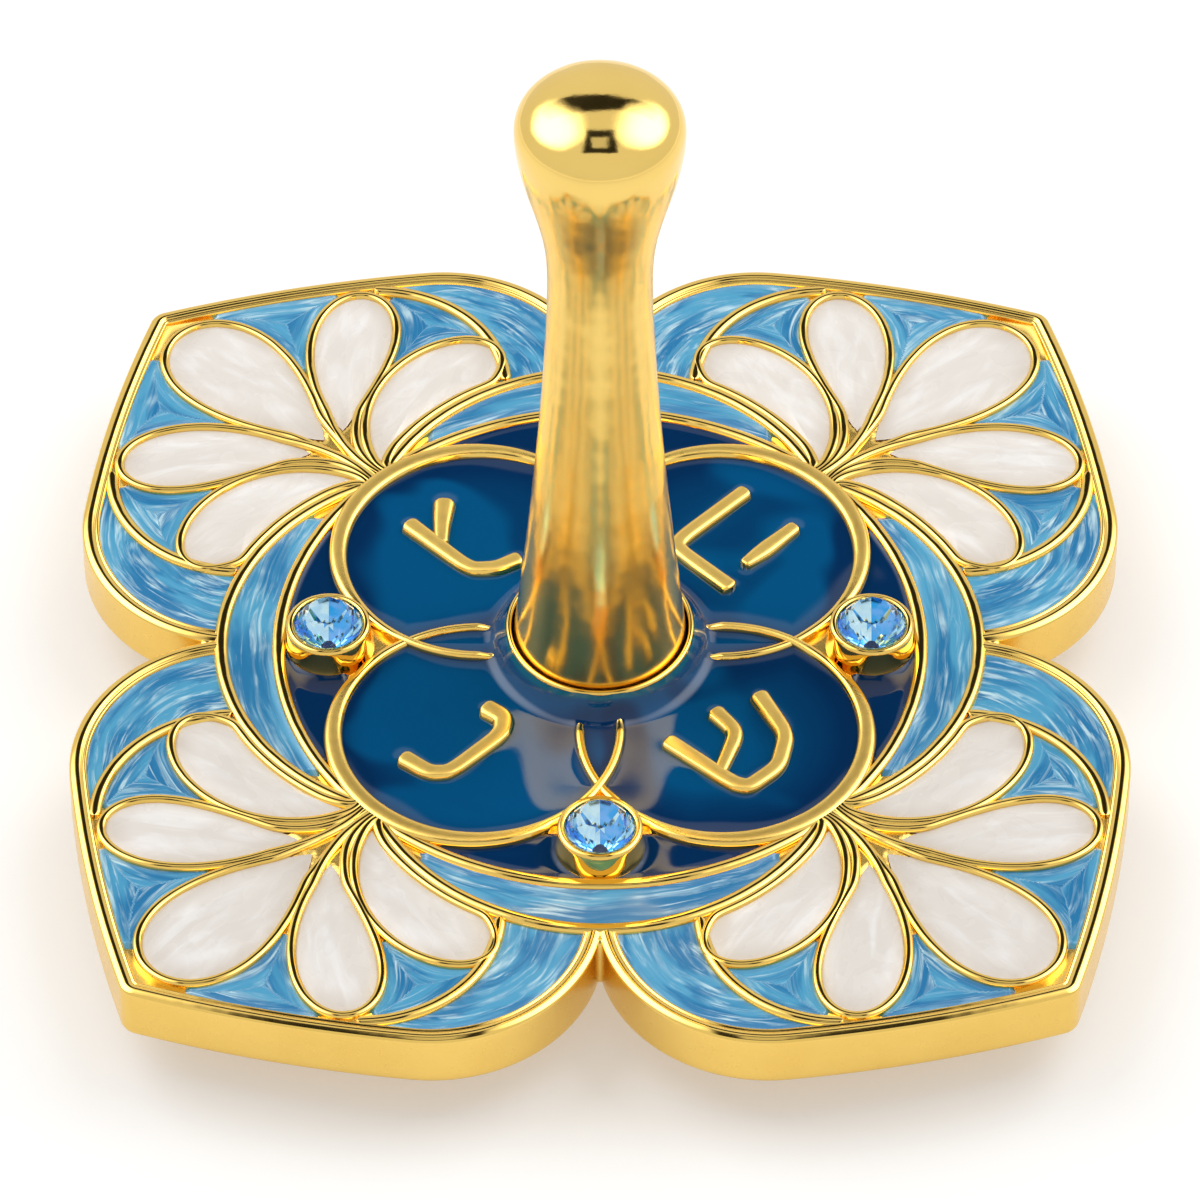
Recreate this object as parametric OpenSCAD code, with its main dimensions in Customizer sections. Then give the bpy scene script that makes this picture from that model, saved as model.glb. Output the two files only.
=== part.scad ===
// Dreidel: a four-lobed enamelled plate on a turned stem, with a pointed nut below it as the tip.
// It is modelled upright on its tip. The origin is the tip's lowest point and +Z runs up the stem.
// The lobes of the plate lie on the diagonals, and the notches between them on the X and Y axes.

/* [Plate] */
// Width of the plate over two opposite shoulders
plate_w = 60; // [54:1:70]
// Height of the plate from its underside to the tops of its wires
plate_t = 3.7; // [3:0.1:6]
// Width of the rim round the plate
rim_w = 0.95; // [0.7:0.05:1.3]
// Width of the wires that part the rings, crescents and medallions
wire_w = 0.7; // [0.5:0.05:1]
// Width of the thin wires round the petals and across the lens cells
fine_wire_w = 0.45; // [0.3:0.05:0.6]
// Radius of the outer corner of each lobe
corner_r = 1.2; // [0.6:0.1:2]

/* [Enamel] */
// Depth of the cells below the tops of the wires
cell_depth = 1; // [0.6:0.1:1.6]
// Drop from the tops of the wires to the enamel
enamel_drop = 0.3; // [0.1:0.05:0.5]
// Width of the enamel mound that climbs the collar
mound_w = 1.6; // [1:0.1:2]

/* [Collar] */
// Height of the collar above the tops of the wires
collar_h = 1.3; // [0.8:0.1:2]
// Wall of the collar
collar_wall = 0.35; // [0.25:0.05:0.6]
// Depth of the seat for the stem inside the collar
seat_depth = 0.8; // [0.4:0.1:1.5]
// Gap between the stem's foot and the collar's wall
foot_gap = 0.06; // [0.02:0.01:0.2]

/* [Stem] */
// Height of the stem from its foot to the top of its knob
stem_h = 42.5; // [30:0.5:55]
// Radius of the stem at its foot
foot_r = 4.98; // [4:0.02:5.4]
// Radius of the stem at its neck, below the knob
neck_r = 2.9; // [2:0.05:3.6]
// Radius of the knob
knob_r = 4.7; // [3.8:0.1:6]
// Height of the knob's domed top above its widest place
knob_cap_h = 2.4; // [1.5:0.1:4]

/* [Tip] */
// Length of the tip below the plate
tip_drop = 3; // [2:0.1:6]
// Radius of the tip's head
tip_r = 3.5; // [2.8:0.1:5]
// Depth of the tip's head in the underside of the plate
tip_seat = 1; // [0.5:0.1:1.5]
// Radius of the rounded point that the dreidel spins on
nose_r = 0.8; // [0.4:0.1:1.5]
// Radius of the stud that joins the stem to the tip
stud_r = 1.5; // [1:0.1:2]
// Gap between the stud and the plate's hole
stud_gap = 0.1; // [0.05:0.05:0.3]
// Gap between the stud and the tip's threaded hole
thread_gap = 0.02; // [0.01:0.01:0.05]
// Length of the stud inside the tip
stud_grip = 2.3; // [1.5:0.1:2.6]

/* [Crystals] */
// Radius of a crystal at its girdle
crystal_r = 1.95; // [1.5:0.05:2.3]
// Height of the crystal's crown above its girdle
crown_h = 1.1; // [0.4:0.05:1.3]
// Height of the crystal's girdle
girdle_h = 0.15; // [0.1:0.05:0.3]
// Depth of the crystal's pointed underside
pavilion_h = 1.7; // [1.2:0.1:2.2]
// Gap between the crystal's point and the floor of its cup
point_gap = 0.25; // [0.1:0.05:0.5]
// Gap between the crystal and the bore of its cup
crystal_gap = 0.03; // [0.01:0.01:0.1]
// Wall of a crystal cup at its lip
cup_wall = 0.42; // [0.3:0.02:0.6]
// Spread of a crystal cup from its lip to its base
cup_flare = 0.1; // [0:0.02:0.2]
// Height of the cup's lip above the crystal's girdle
lip_h = 0.1; // [0.05:0.01:0.3]
// Width of the ledge that the crystal sits on
ledge_w = 0.45; // [0.3:0.05:0.7]
// Thickness of the floor of a crystal cup
cup_floor = 0.25; // [0.15:0.05:0.4]

/* [Letters] */
// Height of a letter
letter_h = 6.5; // [5:0.1:7.5]
// Width of a letter's strokes
stroke_w = 0.95; // [0.6:0.05:1.2]
// Height of the letters above the tops of the wires
letter_rise = 0.1; // [0:0.05:0.4]
// Gap between the mound round the collar and the top of a letter
letter_gap = 0.9; // [0.6:0.1:1.4]

/* [Hidden] */
LOBES = ["back_right", "back_left", "front_left", "front_right"];
SIDES = ["right", "back", "left", "front"];
LETTERS = ["hey", "gimel", "nun", "shin"];
QUARTERS = [0:3];
$fn = 96;
GOLD = "#d9a93c";
DEEP_BLUE = "#0a3f73";
SKY_BLUE = "#4d9fd0";
PEARL = "#e9e5df";
SAPPHIRE = "#5fb0f0";

// One overrun serves all cuts
overrun = 0.5;

// The pattern of the plate, laid out in shares of half its width.
// Shoulders, flanks and corners of the lobes
shoulder_r_share = 0.317;
shoulder_out_share = 0.31;
flank_r_share = 2.67;
corner_share = 0.88;
// Ring wires: the four outer arcs, each struck from a point out on its own axis, and the round inner one
ring_centre_share = 0.27;
ring_r_share = 0.453;
inner_ring_r_share = 0.613;
ring_reach_share = 0.325;
// Medallions and crystals
medallion_out_share = 0.23;
medallion_r_share = 0.268;
crystal_out_share = 0.517;
niche_reach_share = 0.297;
// The wire that parts the shoulder crescent from the petals
crescent_shares = [0.69, 0.443];
crescent_r_share = 0.257;
// Petals of half a lobe: tip, bend and end of the spine, and half the width
side_petal_shares = [[0.473, 0.432], [0.66, 0.412], [0.777, 0.205], 0.079];
next_petal_shares = [[0.567, 0.502], [0.75, 0.51], [0.925, 0.457], 0.075];
middle_petal_shares = [[0.54, 0.54], [0.68, 0.68], [0.822, 0.822], 0.103];
// Where the wires run together and leave no room for a spandrel: place and radius
fan_foot_shares = [[0.463, 0.463], 0.297];
lobe_corner_shares = [[0.88, 0.88], 0.125];
petal_end_shares = [[0.947, 0.467], 0.06];
ring_side_share = 0.55;
// Where a niche's fill starts beside the crystal cup, in shares of the cup's radius
niche_gap_share = 0.6;
niche_start_share = 0.35;

// Strokes of the letters in shares of their height, with each letter's top along +Y
hey_shares = [
    [[-0.36, 0.44], [0.3, 0.44], [0.37, 0.34], [0.37, -0.5]],
    [[-0.25, 0.16], [-0.25, -0.5]]];
gimel_shares = [
    [[-0.2, 0.5], [0.02, 0.44], [0.2, 0.28], [0.2, -0.5]],
    [[0.16, -0.12], [-0.22, -0.47]]];
nun_shares = [
    [[-0.15, 0.45], [0.05, 0.48], [0.17, 0.33], [0.17, -0.3], [0.05, -0.43], [-0.24, -0.47]]];
shin_shares = [
    [[-0.42, 0.46], [-0.36, -0.41], [0.05, -0.43], [0.37, -0.22], [0.53, 0.28]],
    [[0.12, 0.42], [0.08, 0.1], [-0.37, -0.12]]];
letter_shares = [hey_shares, gimel_shares, nun_shares, shin_shares];

// Where the stem's neck lies in its height, and how its flare and its swell run
neck_share = 0.675;
flare_power = 1.5;
swell_power = 1.15;
// The flat top of a crystal, as a share of its radius
table_share = 0.56;
// Faces round a crystal's crown
crown_faces = 8;

// Levels
underside_z = tip_drop;
wire_z = underside_z + plate_t;
floor_z = wire_z - cell_depth;
enamel_z = wire_z - enamel_drop;
collar_z = wire_z + collar_h;
foot_z = collar_z - seat_depth;
tip_top_z = underside_z + tip_seat;
stud_end_z = tip_top_z - stud_grip;
letter_z = wire_z + letter_rise;

// Plan sizes that follow the width of the plate
half = plate_w / 2;
shoulder_r = half * shoulder_r_share;
shoulder = [half - shoulder_r, half * shoulder_out_share];
flank_r = half * flank_r_share;
crystal_out = half * crystal_out_share;
collar_in_r = foot_r + foot_gap;
collar_r = collar_in_r + collar_wall;
mound_r = collar_r + mound_w;
letter_out = mound_r + letter_gap + letter_h / 2;

// Levels and radii of a crystal and its cup
girdle_z = floor_z + cup_floor + point_gap + pavilion_h;
crown_z = girdle_z + girdle_h;
cup_bore_r = crystal_r + crystal_gap;
cup_lip_r = cup_bore_r + cup_wall;
cup_r = cup_lip_r + cup_flare;
// The lip leans over the crystal as its crown does
lip_lean = lip_h * crystal_r * (1 - table_share) / crown_h;
ledge_r = crystal_r - ledge_w;
ledge_z = girdle_z - ledge_w * pavilion_h / crystal_r;

// Steps along the arcs and curves
arc_steps = 24;
flank_steps = 8;
corner_steps = 6;
petal_steps = 14;
profile_steps = 18;

function swapped(points) = [for (i = [len(points) - 1:-1:0]) [points[i].y, points[i].x]];
function unit(v) = v / norm(v);
function turned(p, a) = [p.x * cos(a) - p.y * sin(a), p.x * sin(a) + p.y * cos(a)];
function arc(centre, r, from, to, steps) = [
    for (i = [0:steps])
        let (a = from + (to - from) * i / steps)
            centre + r * [cos(a), sin(a)]];

// The flank is an arc that leaves the shoulder's circle without a kink and runs to the lobe's corner.
// Its angle at the shoulder follows from the corner, and the rounded corner's centre lies on the diagonal.
corner = half * [corner_share, corner_share];
flank_offset = flank_r - shoulder_r;
to_corner = corner - shoulder;
flank_reach = (pow(flank_r, 2) - pow(flank_offset, 2) - to_corner * to_corner) / (2 * flank_offset);
flank_angle = atan2(to_corner.y, to_corner.x) - acos(flank_reach / norm(to_corner));
flank = shoulder - flank_offset * [cos(flank_angle), sin(flank_angle)];
flank_sum = flank.x + flank.y;
flank_rest = flank * flank - pow(flank_r - corner_r, 2);
round_out = (flank_sum + sqrt(pow(flank_sum, 2) - 2 * flank_rest)) / 2;
round_angle = atan2(round_out - flank.y, round_out - flank.x);

// Edge of the lobe between the +X and +Y axes, moved out by grow, from an angle on the shoulder's circle
function half_edge(grow, from) = concat(
    arc(shoulder, shoulder_r + grow, from, flank_angle, arc_steps),
    [for (i = [1:flank_steps])
        let (a = flank_angle + (round_angle - flank_angle) * i / flank_steps)
            flank + (flank_r + grow) * [cos(a), sin(a)]]);
function lobe_edge(grow, from) = concat(
    half_edge(grow, from),
    [for (i = [1:corner_steps - 1])
        let (a = round_angle + (90 - 2 * round_angle) * i / corner_steps)
            [round_out, round_out] + (corner_r + grow) * [cos(a), sin(a)]],
    swapped(half_edge(grow, from)));
notch_angle = -asin(shoulder.y / shoulder_r);
function plate_edge() = [
    for (q = QUARTERS)
        let (edge = lobe_edge(0, notch_angle))
            for (i = [0:len(edge) - 2])
                turned(edge[i], 90 * q)];

// A petal is a curved drop: its half width grows from the tip and closes in a round end
function spine(p, t) = pow(1 - t, 2) * p[0] + 2 * t * (1 - t) * p[1] + pow(t, 2) * p[2];
function spine_dir(p, t) = unit((1 - t) * (p[1] - p[0]) + t * (p[2] - p[1]));
function drop_width(s) = s * (2 - s) * (1 - s) / (sqrt(1 / 3) - pow(1 / 3, 1.5));
function petal_side(p, s, side) =
    let (t = s * (2 - s), d = spine_dir(p, t))
        spine(p, t) + side * p[3] * drop_width(s) * [d.y, -d.x];
function petal_loop(p) = concat(
    [for (i = [0:petal_steps]) petal_side(p, i / petal_steps, 1)],
    [for (i = [petal_steps - 1:-1:1]) petal_side(p, i / petal_steps, -1)]);
// A loop moved outwards by grow, along the normal at each of its points
function grown(loop, grow) = [
    for (i = [0:len(loop) - 1])
        let (n = len(loop), along = unit(loop[(i + 1) % n] - loop[(i + n - 1) % n]))
            loop[i] + grow * [along.y, -along.x]];
function petal(shares, grow) = grown(petal_loop(half * shares), grow);

// A pen stroke along a path, with mitred corners
function pen_normal(path, i) =
    let (before = unit(path[max(i, 1)] - path[max(i, 1) - 1]),
         after = unit(path[min(i, len(path) - 2) + 1] - path[min(i, len(path) - 2)]),
         n = [-before.y - after.y, before.x + after.x])
        n / (1 + before * after);
function pen_stroke(path, w) = concat(
    [for (i = [0:len(path) - 1]) path[i] + w / 2 * pen_normal(path, i)],
    [for (i = [len(path) - 1:-1:0]) path[i] - w / 2 * pen_normal(path, i)]);

// Profiles that turn about the stem's axis, as radius and height
function flare_r(t) = neck_r + (foot_r - neck_r) * pow(1 - t, flare_power);
function swell_r(t) = neck_r + (knob_r - neck_r) * (1 - cos(180 * pow(t, swell_power))) / 2;
neck_z = foot_z + stem_h * neck_share;
knob_z = foot_z + stem_h - knob_cap_h;
stem_profile = concat(
    [[0, stud_end_z], [stud_r, stud_end_z], [stud_r, foot_z]],
    [for (i = [0:profile_steps])
        let (t = i / profile_steps) [flare_r(t), foot_z + (neck_z - foot_z) * t]],
    [for (i = [1:profile_steps])
        let (t = i / profile_steps) [swell_r(t), neck_z + (knob_z - neck_z) * t]],
    [for (i = [1:profile_steps])
        let (a = 90 * i / profile_steps)
            [i < profile_steps ? knob_r * cos(a) : 0, knob_z + knob_cap_h * sin(a)]]);

nose = [0, nose_r];
to_head = [tip_r, tip_drop] - nose;
nose_angle = atan2(to_head.y, to_head.x) - acos(nose_r / norm(to_head));
bore_end_z = stud_end_z - stud_gap;
bore_r = stud_r + thread_gap;
tip_profile = concat(
    [[0, 0]],
    [for (i = [1:corner_steps])
        let (a = -90 + (nose_angle + 90) * i / corner_steps) nose + nose_r * [cos(a), sin(a)]],
    [[tip_r, underside_z], [tip_r, tip_top_z], [bore_r, tip_top_z], [bore_r, bore_end_z], [0, bore_end_z]]);

cup_profile = [
    [0, floor_z], [cup_r, floor_z], [cup_lip_r, crown_z + lip_h], [cup_bore_r - lip_lean, crown_z + lip_h],
    [cup_bore_r, crown_z], [cup_bore_r, ledge_z], [ledge_r, ledge_z],
    [ledge_r, floor_z + cup_floor], [0, floor_z + cup_floor]];

mound_profile = concat(
    [[collar_r, floor_z], [mound_r, floor_z]],
    [for (i = [0:profile_steps])
        let (t = i / profile_steps) [mound_r - mound_w * t, enamel_z + (collar_z - enamel_z) * pow(t, 2)]]);

// Plan shapes, drawn for the lobe between +X and +Y or for the side on +X
module medallion_disc(quarter, grow)
    rotate(90 * quarter) translate(half * medallion_out_share * [1, 1])
        circle(half * medallion_r_share + grow);
module ring_disc(quarter, grow)
    rotate(90 * quarter) translate([half * ring_centre_share, 0]) circle(half * ring_r_share + grow);
module cup_disc() translate([crystal_out, 0]) circle(cup_r);
module crescent_disc(grow) translate(half * crescent_shares) circle(half * crescent_r_share + grow);
module shoulder_disc(grow) translate(shoulder) circle(shoulder_r + grow);
module spot(shares) translate(half * shares[0]) circle(half * shares[1]);
module both_halves() {
    children();
    mirror([1, -1]) children();
}

module letter_shape(quarter)
    rotate(90 * quarter + 45) translate([letter_out, 0]) rotate(90)
        for (path = letter_shares[quarter]) polygon(pen_stroke(letter_h * path, stroke_w));

module medallion_cell(quarter) rotate(90 * quarter) difference() {
    medallion_disc(0, -wire_w / 2);
    medallion_disc(1, fine_wire_w / 2);
    medallion_disc(3, fine_wire_w / 2);
    circle(mound_r);
}

module lens_cell(quarter) rotate(90 * quarter) difference() {
    intersection() {
        medallion_disc(0, -fine_wire_w / 2);
        medallion_disc(3, -fine_wire_w / 2);
    }
    circle(mound_r);
}

module niche_cell(quarter) rotate(90 * quarter) for (side = [0, 1]) mirror([0, side]) difference() {
    intersection() {
        circle(half * inner_ring_r_share - wire_w / 2);
        translate([crystal_out - cup_r * niche_start_share, cup_r * niche_gap_share])
            square([half, half * niche_reach_share - cup_r * niche_gap_share]);
    }
    medallion_disc(0, wire_w / 2);
    cup_disc();
}

module ring_cell(quarter) rotate(90 * quarter) difference() {
    intersection() {
        ring_disc(0, -wire_w / 2);
        translate([0, -half * ring_reach_share]) square([half, plate_w * ring_reach_share]);
    }
    circle(half * inner_ring_r_share + wire_w / 2);
}

module shoulder_cells(quarter) rotate(90 * quarter) both_halves() difference() {
    shoulder_disc(-rim_w);
    crescent_disc(wire_w / 2);
    ring_disc(0, wire_w / 2);
}

module side_petal(grow) difference() {
    polygon(petal(side_petal_shares, grow));
    ring_disc(0, wire_w / 2);
}

module petal_cells(quarter) rotate(90 * quarter) {
    polygon(petal(middle_petal_shares, 0));
    both_halves() {
        polygon(petal(next_petal_shares, 0));
        side_petal(0);
    }
}

module spandrel_cells(quarter) rotate(90 * quarter) difference() {
    polygon(concat([[0, 0]], lobe_edge(-rim_w, -90)));
    spot(fan_foot_shares);
    spot(lobe_corner_shares);
    polygon(petal(middle_petal_shares, fine_wire_w));
    both_halves() {
        translate([half * ring_centre_share, 0]) circle(half * ring_side_share);
        spot(petal_end_shares);
        polygon(petal(next_petal_shares, fine_wire_w));
        polygon(petal(side_petal_shares, fine_wire_w));
        difference() {
            shoulder_disc(0);
            crescent_disc(-wire_w / 2);
        }
    }
}

module all_cells() for (q = QUARTERS) {
    medallion_cell(q);
    lens_cell(q);
    niche_cell(q);
    ring_cell(q);
    shoulder_cells(q);
    petal_cells(q);
    spandrel_cells(q);
    rotate(90 * q) cup_disc();
}

module enamel_fill(colour) color(colour) translate([0, 0, floor_z])
    linear_extrude(cell_depth - enamel_drop) children();

module plate() color(GOLD) difference() {
    union() {
        difference() {
            translate([0, 0, underside_z]) linear_extrude(plate_t) polygon(plate_edge());
            translate([0, 0, floor_z]) linear_extrude(cell_depth + overrun) all_cells();
            translate([0, 0, floor_z]) cylinder(r = mound_r, h = cell_depth + overrun);
        }
        translate([0, 0, floor_z]) cylinder(r = collar_r, h = collar_z - floor_z);
    }
    translate([0, 0, foot_z]) cylinder(r = collar_in_r, h = seat_depth + overrun);
    translate([0, 0, underside_z]) cylinder(r = stud_r + stud_gap, h = collar_z - underside_z);
    translate([0, 0, underside_z - overrun]) cylinder(r = tip_r, h = tip_seat + overrun);
}

module stem() color(GOLD) rotate_extrude() polygon(stem_profile);

module spinning_tip() color(GOLD) rotate_extrude() polygon(tip_profile);

module collar_enamel() color(DEEP_BLUE) difference() {
    rotate_extrude() polygon(mound_profile);
    for (q = QUARTERS) translate([0, 0, floor_z]) linear_extrude(collar_z) letter_shape(q);
}

module crystal_cup(quarter) color(GOLD)
    rotate(90 * quarter) translate([crystal_out, 0, 0]) rotate_extrude() polygon(cup_profile);

module crystal(quarter) color(SAPPHIRE) rotate(90 * quarter) translate([crystal_out, 0, 0]) {
    rotate_extrude() polygon([
        [0, girdle_z - pavilion_h], [crystal_r, girdle_z], [crystal_r, crown_z], [0, crown_z]]);
    translate([0, 0, crown_z])
        cylinder(r1 = crystal_r, r2 = crystal_r * table_share, h = crown_h, $fn = crown_faces);
}

module letter(quarter) color(GOLD) translate([0, 0, floor_z])
    linear_extrude(letter_z - floor_z) letter_shape(quarter);

module medallion_enamel(quarter) enamel_fill(DEEP_BLUE) difference() {
    medallion_cell(quarter);
    letter_shape(quarter);
}

module lens_enamel(quarter) enamel_fill(DEEP_BLUE) lens_cell(quarter);
module niche_enamel(quarter) enamel_fill(DEEP_BLUE) niche_cell(quarter);
module ring_enamel(quarter) enamel_fill(SKY_BLUE) ring_cell(quarter);
module shoulder_enamel(quarter) enamel_fill(SKY_BLUE) shoulder_cells(quarter);
module spandrel_enamel(quarter) enamel_fill(SKY_BLUE) spandrel_cells(quarter);
module petal_enamel(quarter) enamel_fill(PEARL) petal_cells(quarter);

plate();
stem();
spinning_tip();
collar_enamel();
for (q = QUARTERS) {
    crystal_cup(q);
    crystal(q);
    letter(q);
    medallion_enamel(q);
    lens_enamel(q);
    niche_enamel(q);
    ring_enamel(q);
    shoulder_enamel(q);
    spandrel_enamel(q);
    petal_enamel(q);
}
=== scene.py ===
"""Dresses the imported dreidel: gold body and wires, enamel, crystals, stem and tip, with a plain studio."""
import logging
import math
from dataclasses import dataclass, replace
from enum import Enum
from typing import Dict, List, Optional, Sequence, Tuple, Union

import bmesh
import bpy
import numpy as np
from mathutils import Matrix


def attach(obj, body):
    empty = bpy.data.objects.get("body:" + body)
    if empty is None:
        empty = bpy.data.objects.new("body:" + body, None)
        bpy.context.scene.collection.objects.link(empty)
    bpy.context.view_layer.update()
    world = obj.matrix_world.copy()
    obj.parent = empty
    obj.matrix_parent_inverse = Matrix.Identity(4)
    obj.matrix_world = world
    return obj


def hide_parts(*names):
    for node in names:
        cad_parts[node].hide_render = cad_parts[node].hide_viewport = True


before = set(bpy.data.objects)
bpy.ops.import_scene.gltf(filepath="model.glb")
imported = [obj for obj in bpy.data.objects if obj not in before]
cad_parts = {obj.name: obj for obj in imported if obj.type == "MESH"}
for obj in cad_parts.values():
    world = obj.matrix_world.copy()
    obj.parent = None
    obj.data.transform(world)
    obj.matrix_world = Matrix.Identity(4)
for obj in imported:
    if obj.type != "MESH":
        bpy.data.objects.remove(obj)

LOG = logging.getLogger("dreidel")
MM = 0.001
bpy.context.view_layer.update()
SIDES = ("right", "back", "left", "front")
LOBES = ("back_right", "back_left", "front_left", "front_right")
LETTERS = ("hey", "gimel", "nun", "shin")
# Half the plate's width in millimetres, which the shares of the plan scale
HALF = 30.0
# Points that lie closer than this, in metres, are merged
MERGE = 2e-7
Array = np.ndarray
Values = Union[float, Array]
Point = Tuple[float, float]
Triple = Tuple[float, float, float]
Colour = Triple
Socket = bpy.types.NodeSocket
Material = bpy.types.Material


class Slot(Enum):
    """Material slots."""

    GOLD = "gold"
    CRYSTAL = "crystal"
    DARK_BLUE = "dark_blue_enamel"
    LIGHT_BLUE = "light_blue_enamel"
    PEARL = "pearl_enamel"


# Grids and meshes


@dataclass
class Sheet:
    """A surface as a grid of points in millimetres, with the values that its finish reads, among them a
    painted light value for painted shade and painted highlights.

    The face normal is the row direction times the column direction, unless flip turns it round.
    """

    points: Array
    round_rows: bool = False
    flip: bool = False
    flat: bool = False
    finish: int = 0
    uv: Optional[Array] = None
    # Painted light: a value per point that the enamel finishes turn into painted shade and painted highlights
    depth: Optional[Array] = None
    keep: Optional[Array] = None

    def faces(self) -> Array:
        """Corner numbers of the quads, row by row.

        Returns:
            Four corner numbers for each face.
        """
        rows, cols = self.points.shape[:2]
        r = np.arange(rows if self.round_rows else rows - 1)
        rr, cc = np.meshgrid(r, np.arange(cols - 1), indexing="ij")
        r2 = (rr + 1) % rows
        c2 = cc + 1
        quads = np.stack([rr * cols + cc, r2 * cols + cc, r2 * cols + c2, rr * cols + c2], axis=-1)
        quads = quads.reshape(-1, 4)
        if self.keep is not None:
            quads = quads[self.keep[:-1, :-1].reshape(-1)]
        return quads[:, ::-1] if self.flip else quads

    def turned(self, quarter: int) -> "Sheet":
        """The same sheet turned by quarter turns about the stem's axis.

        Args:
            quarter: number of quarter turns, anticlockwise.

        Returns:
            The turned sheet.
        """
        a = math.radians(90 * quarter)
        spin = np.array([[math.cos(a), math.sin(a), 0], [-math.sin(a), math.cos(a), 0], [0, 0, 1]])
        return replace(self, points=self.points @ spin)


def make_piece(name: str, sheets: Sequence[Sheet], finishes: Sequence[Material],
               nodes: Sequence[str]) -> bpy.types.Object:
    """Joins sheets into one mesh piece at the origin that rides on the root body.

    Args:
        name: name of the piece.
        sheets: its surfaces, in millimetres.
        finishes: its materials, which the sheets pick by number.
        nodes: the CAD nodes that it stands for.

    Returns:
        The new object.
    """
    verts: List[Array] = []
    faces: List[Array] = []
    picks: List[Array] = []
    smooth: List[Array] = []
    uvs: List[Array] = []
    painted_light_values: List[Array] = []
    start = 0
    for sheet in sheets:
        count = sheet.points.shape[0] * sheet.points.shape[1]
        quads = sheet.faces() + start
        verts.append(sheet.points.reshape(-1, 3))
        faces.append(quads)
        picks.append(np.full(len(quads), sheet.finish))
        smooth.append(np.full(len(quads), not sheet.flat))
        uvs.append(np.zeros((count, 2)) if sheet.uv is None else sheet.uv.reshape(-1, 2))
        painted_light_values.append(np.zeros(count) if sheet.depth is None else sheet.depth.reshape(-1))
        start += count
    mesh = bpy.data.meshes.new(name)
    mesh.from_pydata((np.concatenate(verts) * MM).tolist(), [], np.concatenate(faces).tolist())
    mesh.polygons.foreach_set("material_index", np.concatenate(picks).astype(np.int32))
    mesh.polygons.foreach_set("use_smooth", np.concatenate(smooth))
    corner = np.zeros(len(mesh.loops), np.int32)
    mesh.loops.foreach_get("vertex_index", corner)
    layer = mesh.uv_layers.new(name="streak")
    layer.data.foreach_set("uv", np.concatenate(uvs)[corner].astype(np.float32).reshape(-1))
    # The painted shade and highlight value goes on the mesh as a point attribute
    depth = mesh.attributes.new("depth", "FLOAT", "POINT")
    depth.data.foreach_set("value", np.concatenate(painted_light_values).astype(np.float32))
    for finish in finishes:
        mesh.materials.append(finish)
    shape = bmesh.new()
    shape.from_mesh(mesh)
    bmesh.ops.remove_doubles(shape, verts=shape.verts, dist=MERGE)
    shape.to_mesh(mesh)
    shape.free()
    piece = bpy.data.objects.new(name, mesh)
    bpy.context.scene.collection.objects.link(piece)
    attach(piece, "root")
    if nodes:
        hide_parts(*nodes)
    LOG.info("%s: %d faces", name, len(mesh.polygons))
    return piece


# Plan curves


def arc(centre: Sequence[float], r: float, start: float, end: float, count: int) -> Array:
    """Points on a circle from one angle to another, in degrees."""
    a = np.radians(np.linspace(start, end, count))
    return np.stack([centre[0] + r * np.cos(a), centre[1] + r * np.sin(a)], axis=-1)


def unit(v: Array) -> Array:
    """Vectors of length one along the last axis."""
    return v / np.maximum(np.linalg.norm(v, axis=-1, keepdims=True), 1e-12)


def smoothstep(low: float, high: float, x: Array) -> Array:
    """The cubic that eases from zero at low to one at high."""
    t = np.clip((x - low) / (high - low), 0, 1)
    return t * t * (3 - 2 * t)


def tangents(path: Array, closed: bool) -> Array:
    """Unit tangents of a path by central differences.

    Args:
        path: points of the path.
        closed: whether the path is a loop.

    Returns:
        A unit vector for each point.
    """
    if closed:
        return unit(np.roll(path, -1, axis=0) - np.roll(path, 1, axis=0))
    return unit(np.gradient(path, axis=0))


def resampled(path: Array, step: float) -> Array:
    """A path walked again in even steps of about the given length, by its first two columns.

    Args:
        path: points, whose first two columns are the plan.
        step: length of a step.

    Returns:
        The points at even steps, with all their columns.
    """
    gaps = np.linalg.norm(np.diff(path[:, :2], axis=0), axis=1)
    walk = np.concatenate([[0], np.cumsum(gaps)])
    count = max(4, int(walk[-1] / step) + 1)
    at = np.linspace(0, walk[-1], count)
    return np.stack([np.interp(at, walk, path[:, i]) for i in range(path.shape[1])], axis=-1)


def rounded(path: Array, rounds: int = 3, share: float = 0.25) -> Array:
    """A polyline whose corners are cut again and again at a share of each side.

    Args:
        path: points of the polyline.
        rounds: how often the corners are cut.
        share: share of a side that each cut takes.

    Returns:
        The rounded polyline, with its ends kept.
    """
    for _ in range(rounds):
        cut_a = (1 - share) * path[:-1] + share * path[1:]
        cut_b = share * path[:-1] + (1 - share) * path[1:]
        inner = np.stack([cut_a, cut_b], axis=1).reshape(-1, path.shape[1])
        path = np.concatenate([path[:1], inner[1:-1], path[-1:]])
    return path


def eased(path: Array, rounds: int = 4) -> Array:
    """An open path whose inner points move to the mean of their neighbours, again and again.

    Args:
        path: points of the path.
        rounds: how often the points are moved.

    Returns:
        The eased path, with its ends kept.
    """
    for _ in range(rounds):
        inner = 0.25 * path[:-2] + 0.5 * path[1:-1] + 0.25 * path[2:]
        path = np.concatenate([path[:1], inner, path[-1:]])
    return path


def quarter_turn(path: Array, quarter: int) -> Array:
    """A plan path turned by quarter turns."""
    a = math.radians(90 * quarter)
    return path @ np.array([[math.cos(a), math.sin(a)], [-math.sin(a), math.cos(a)]])


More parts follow.
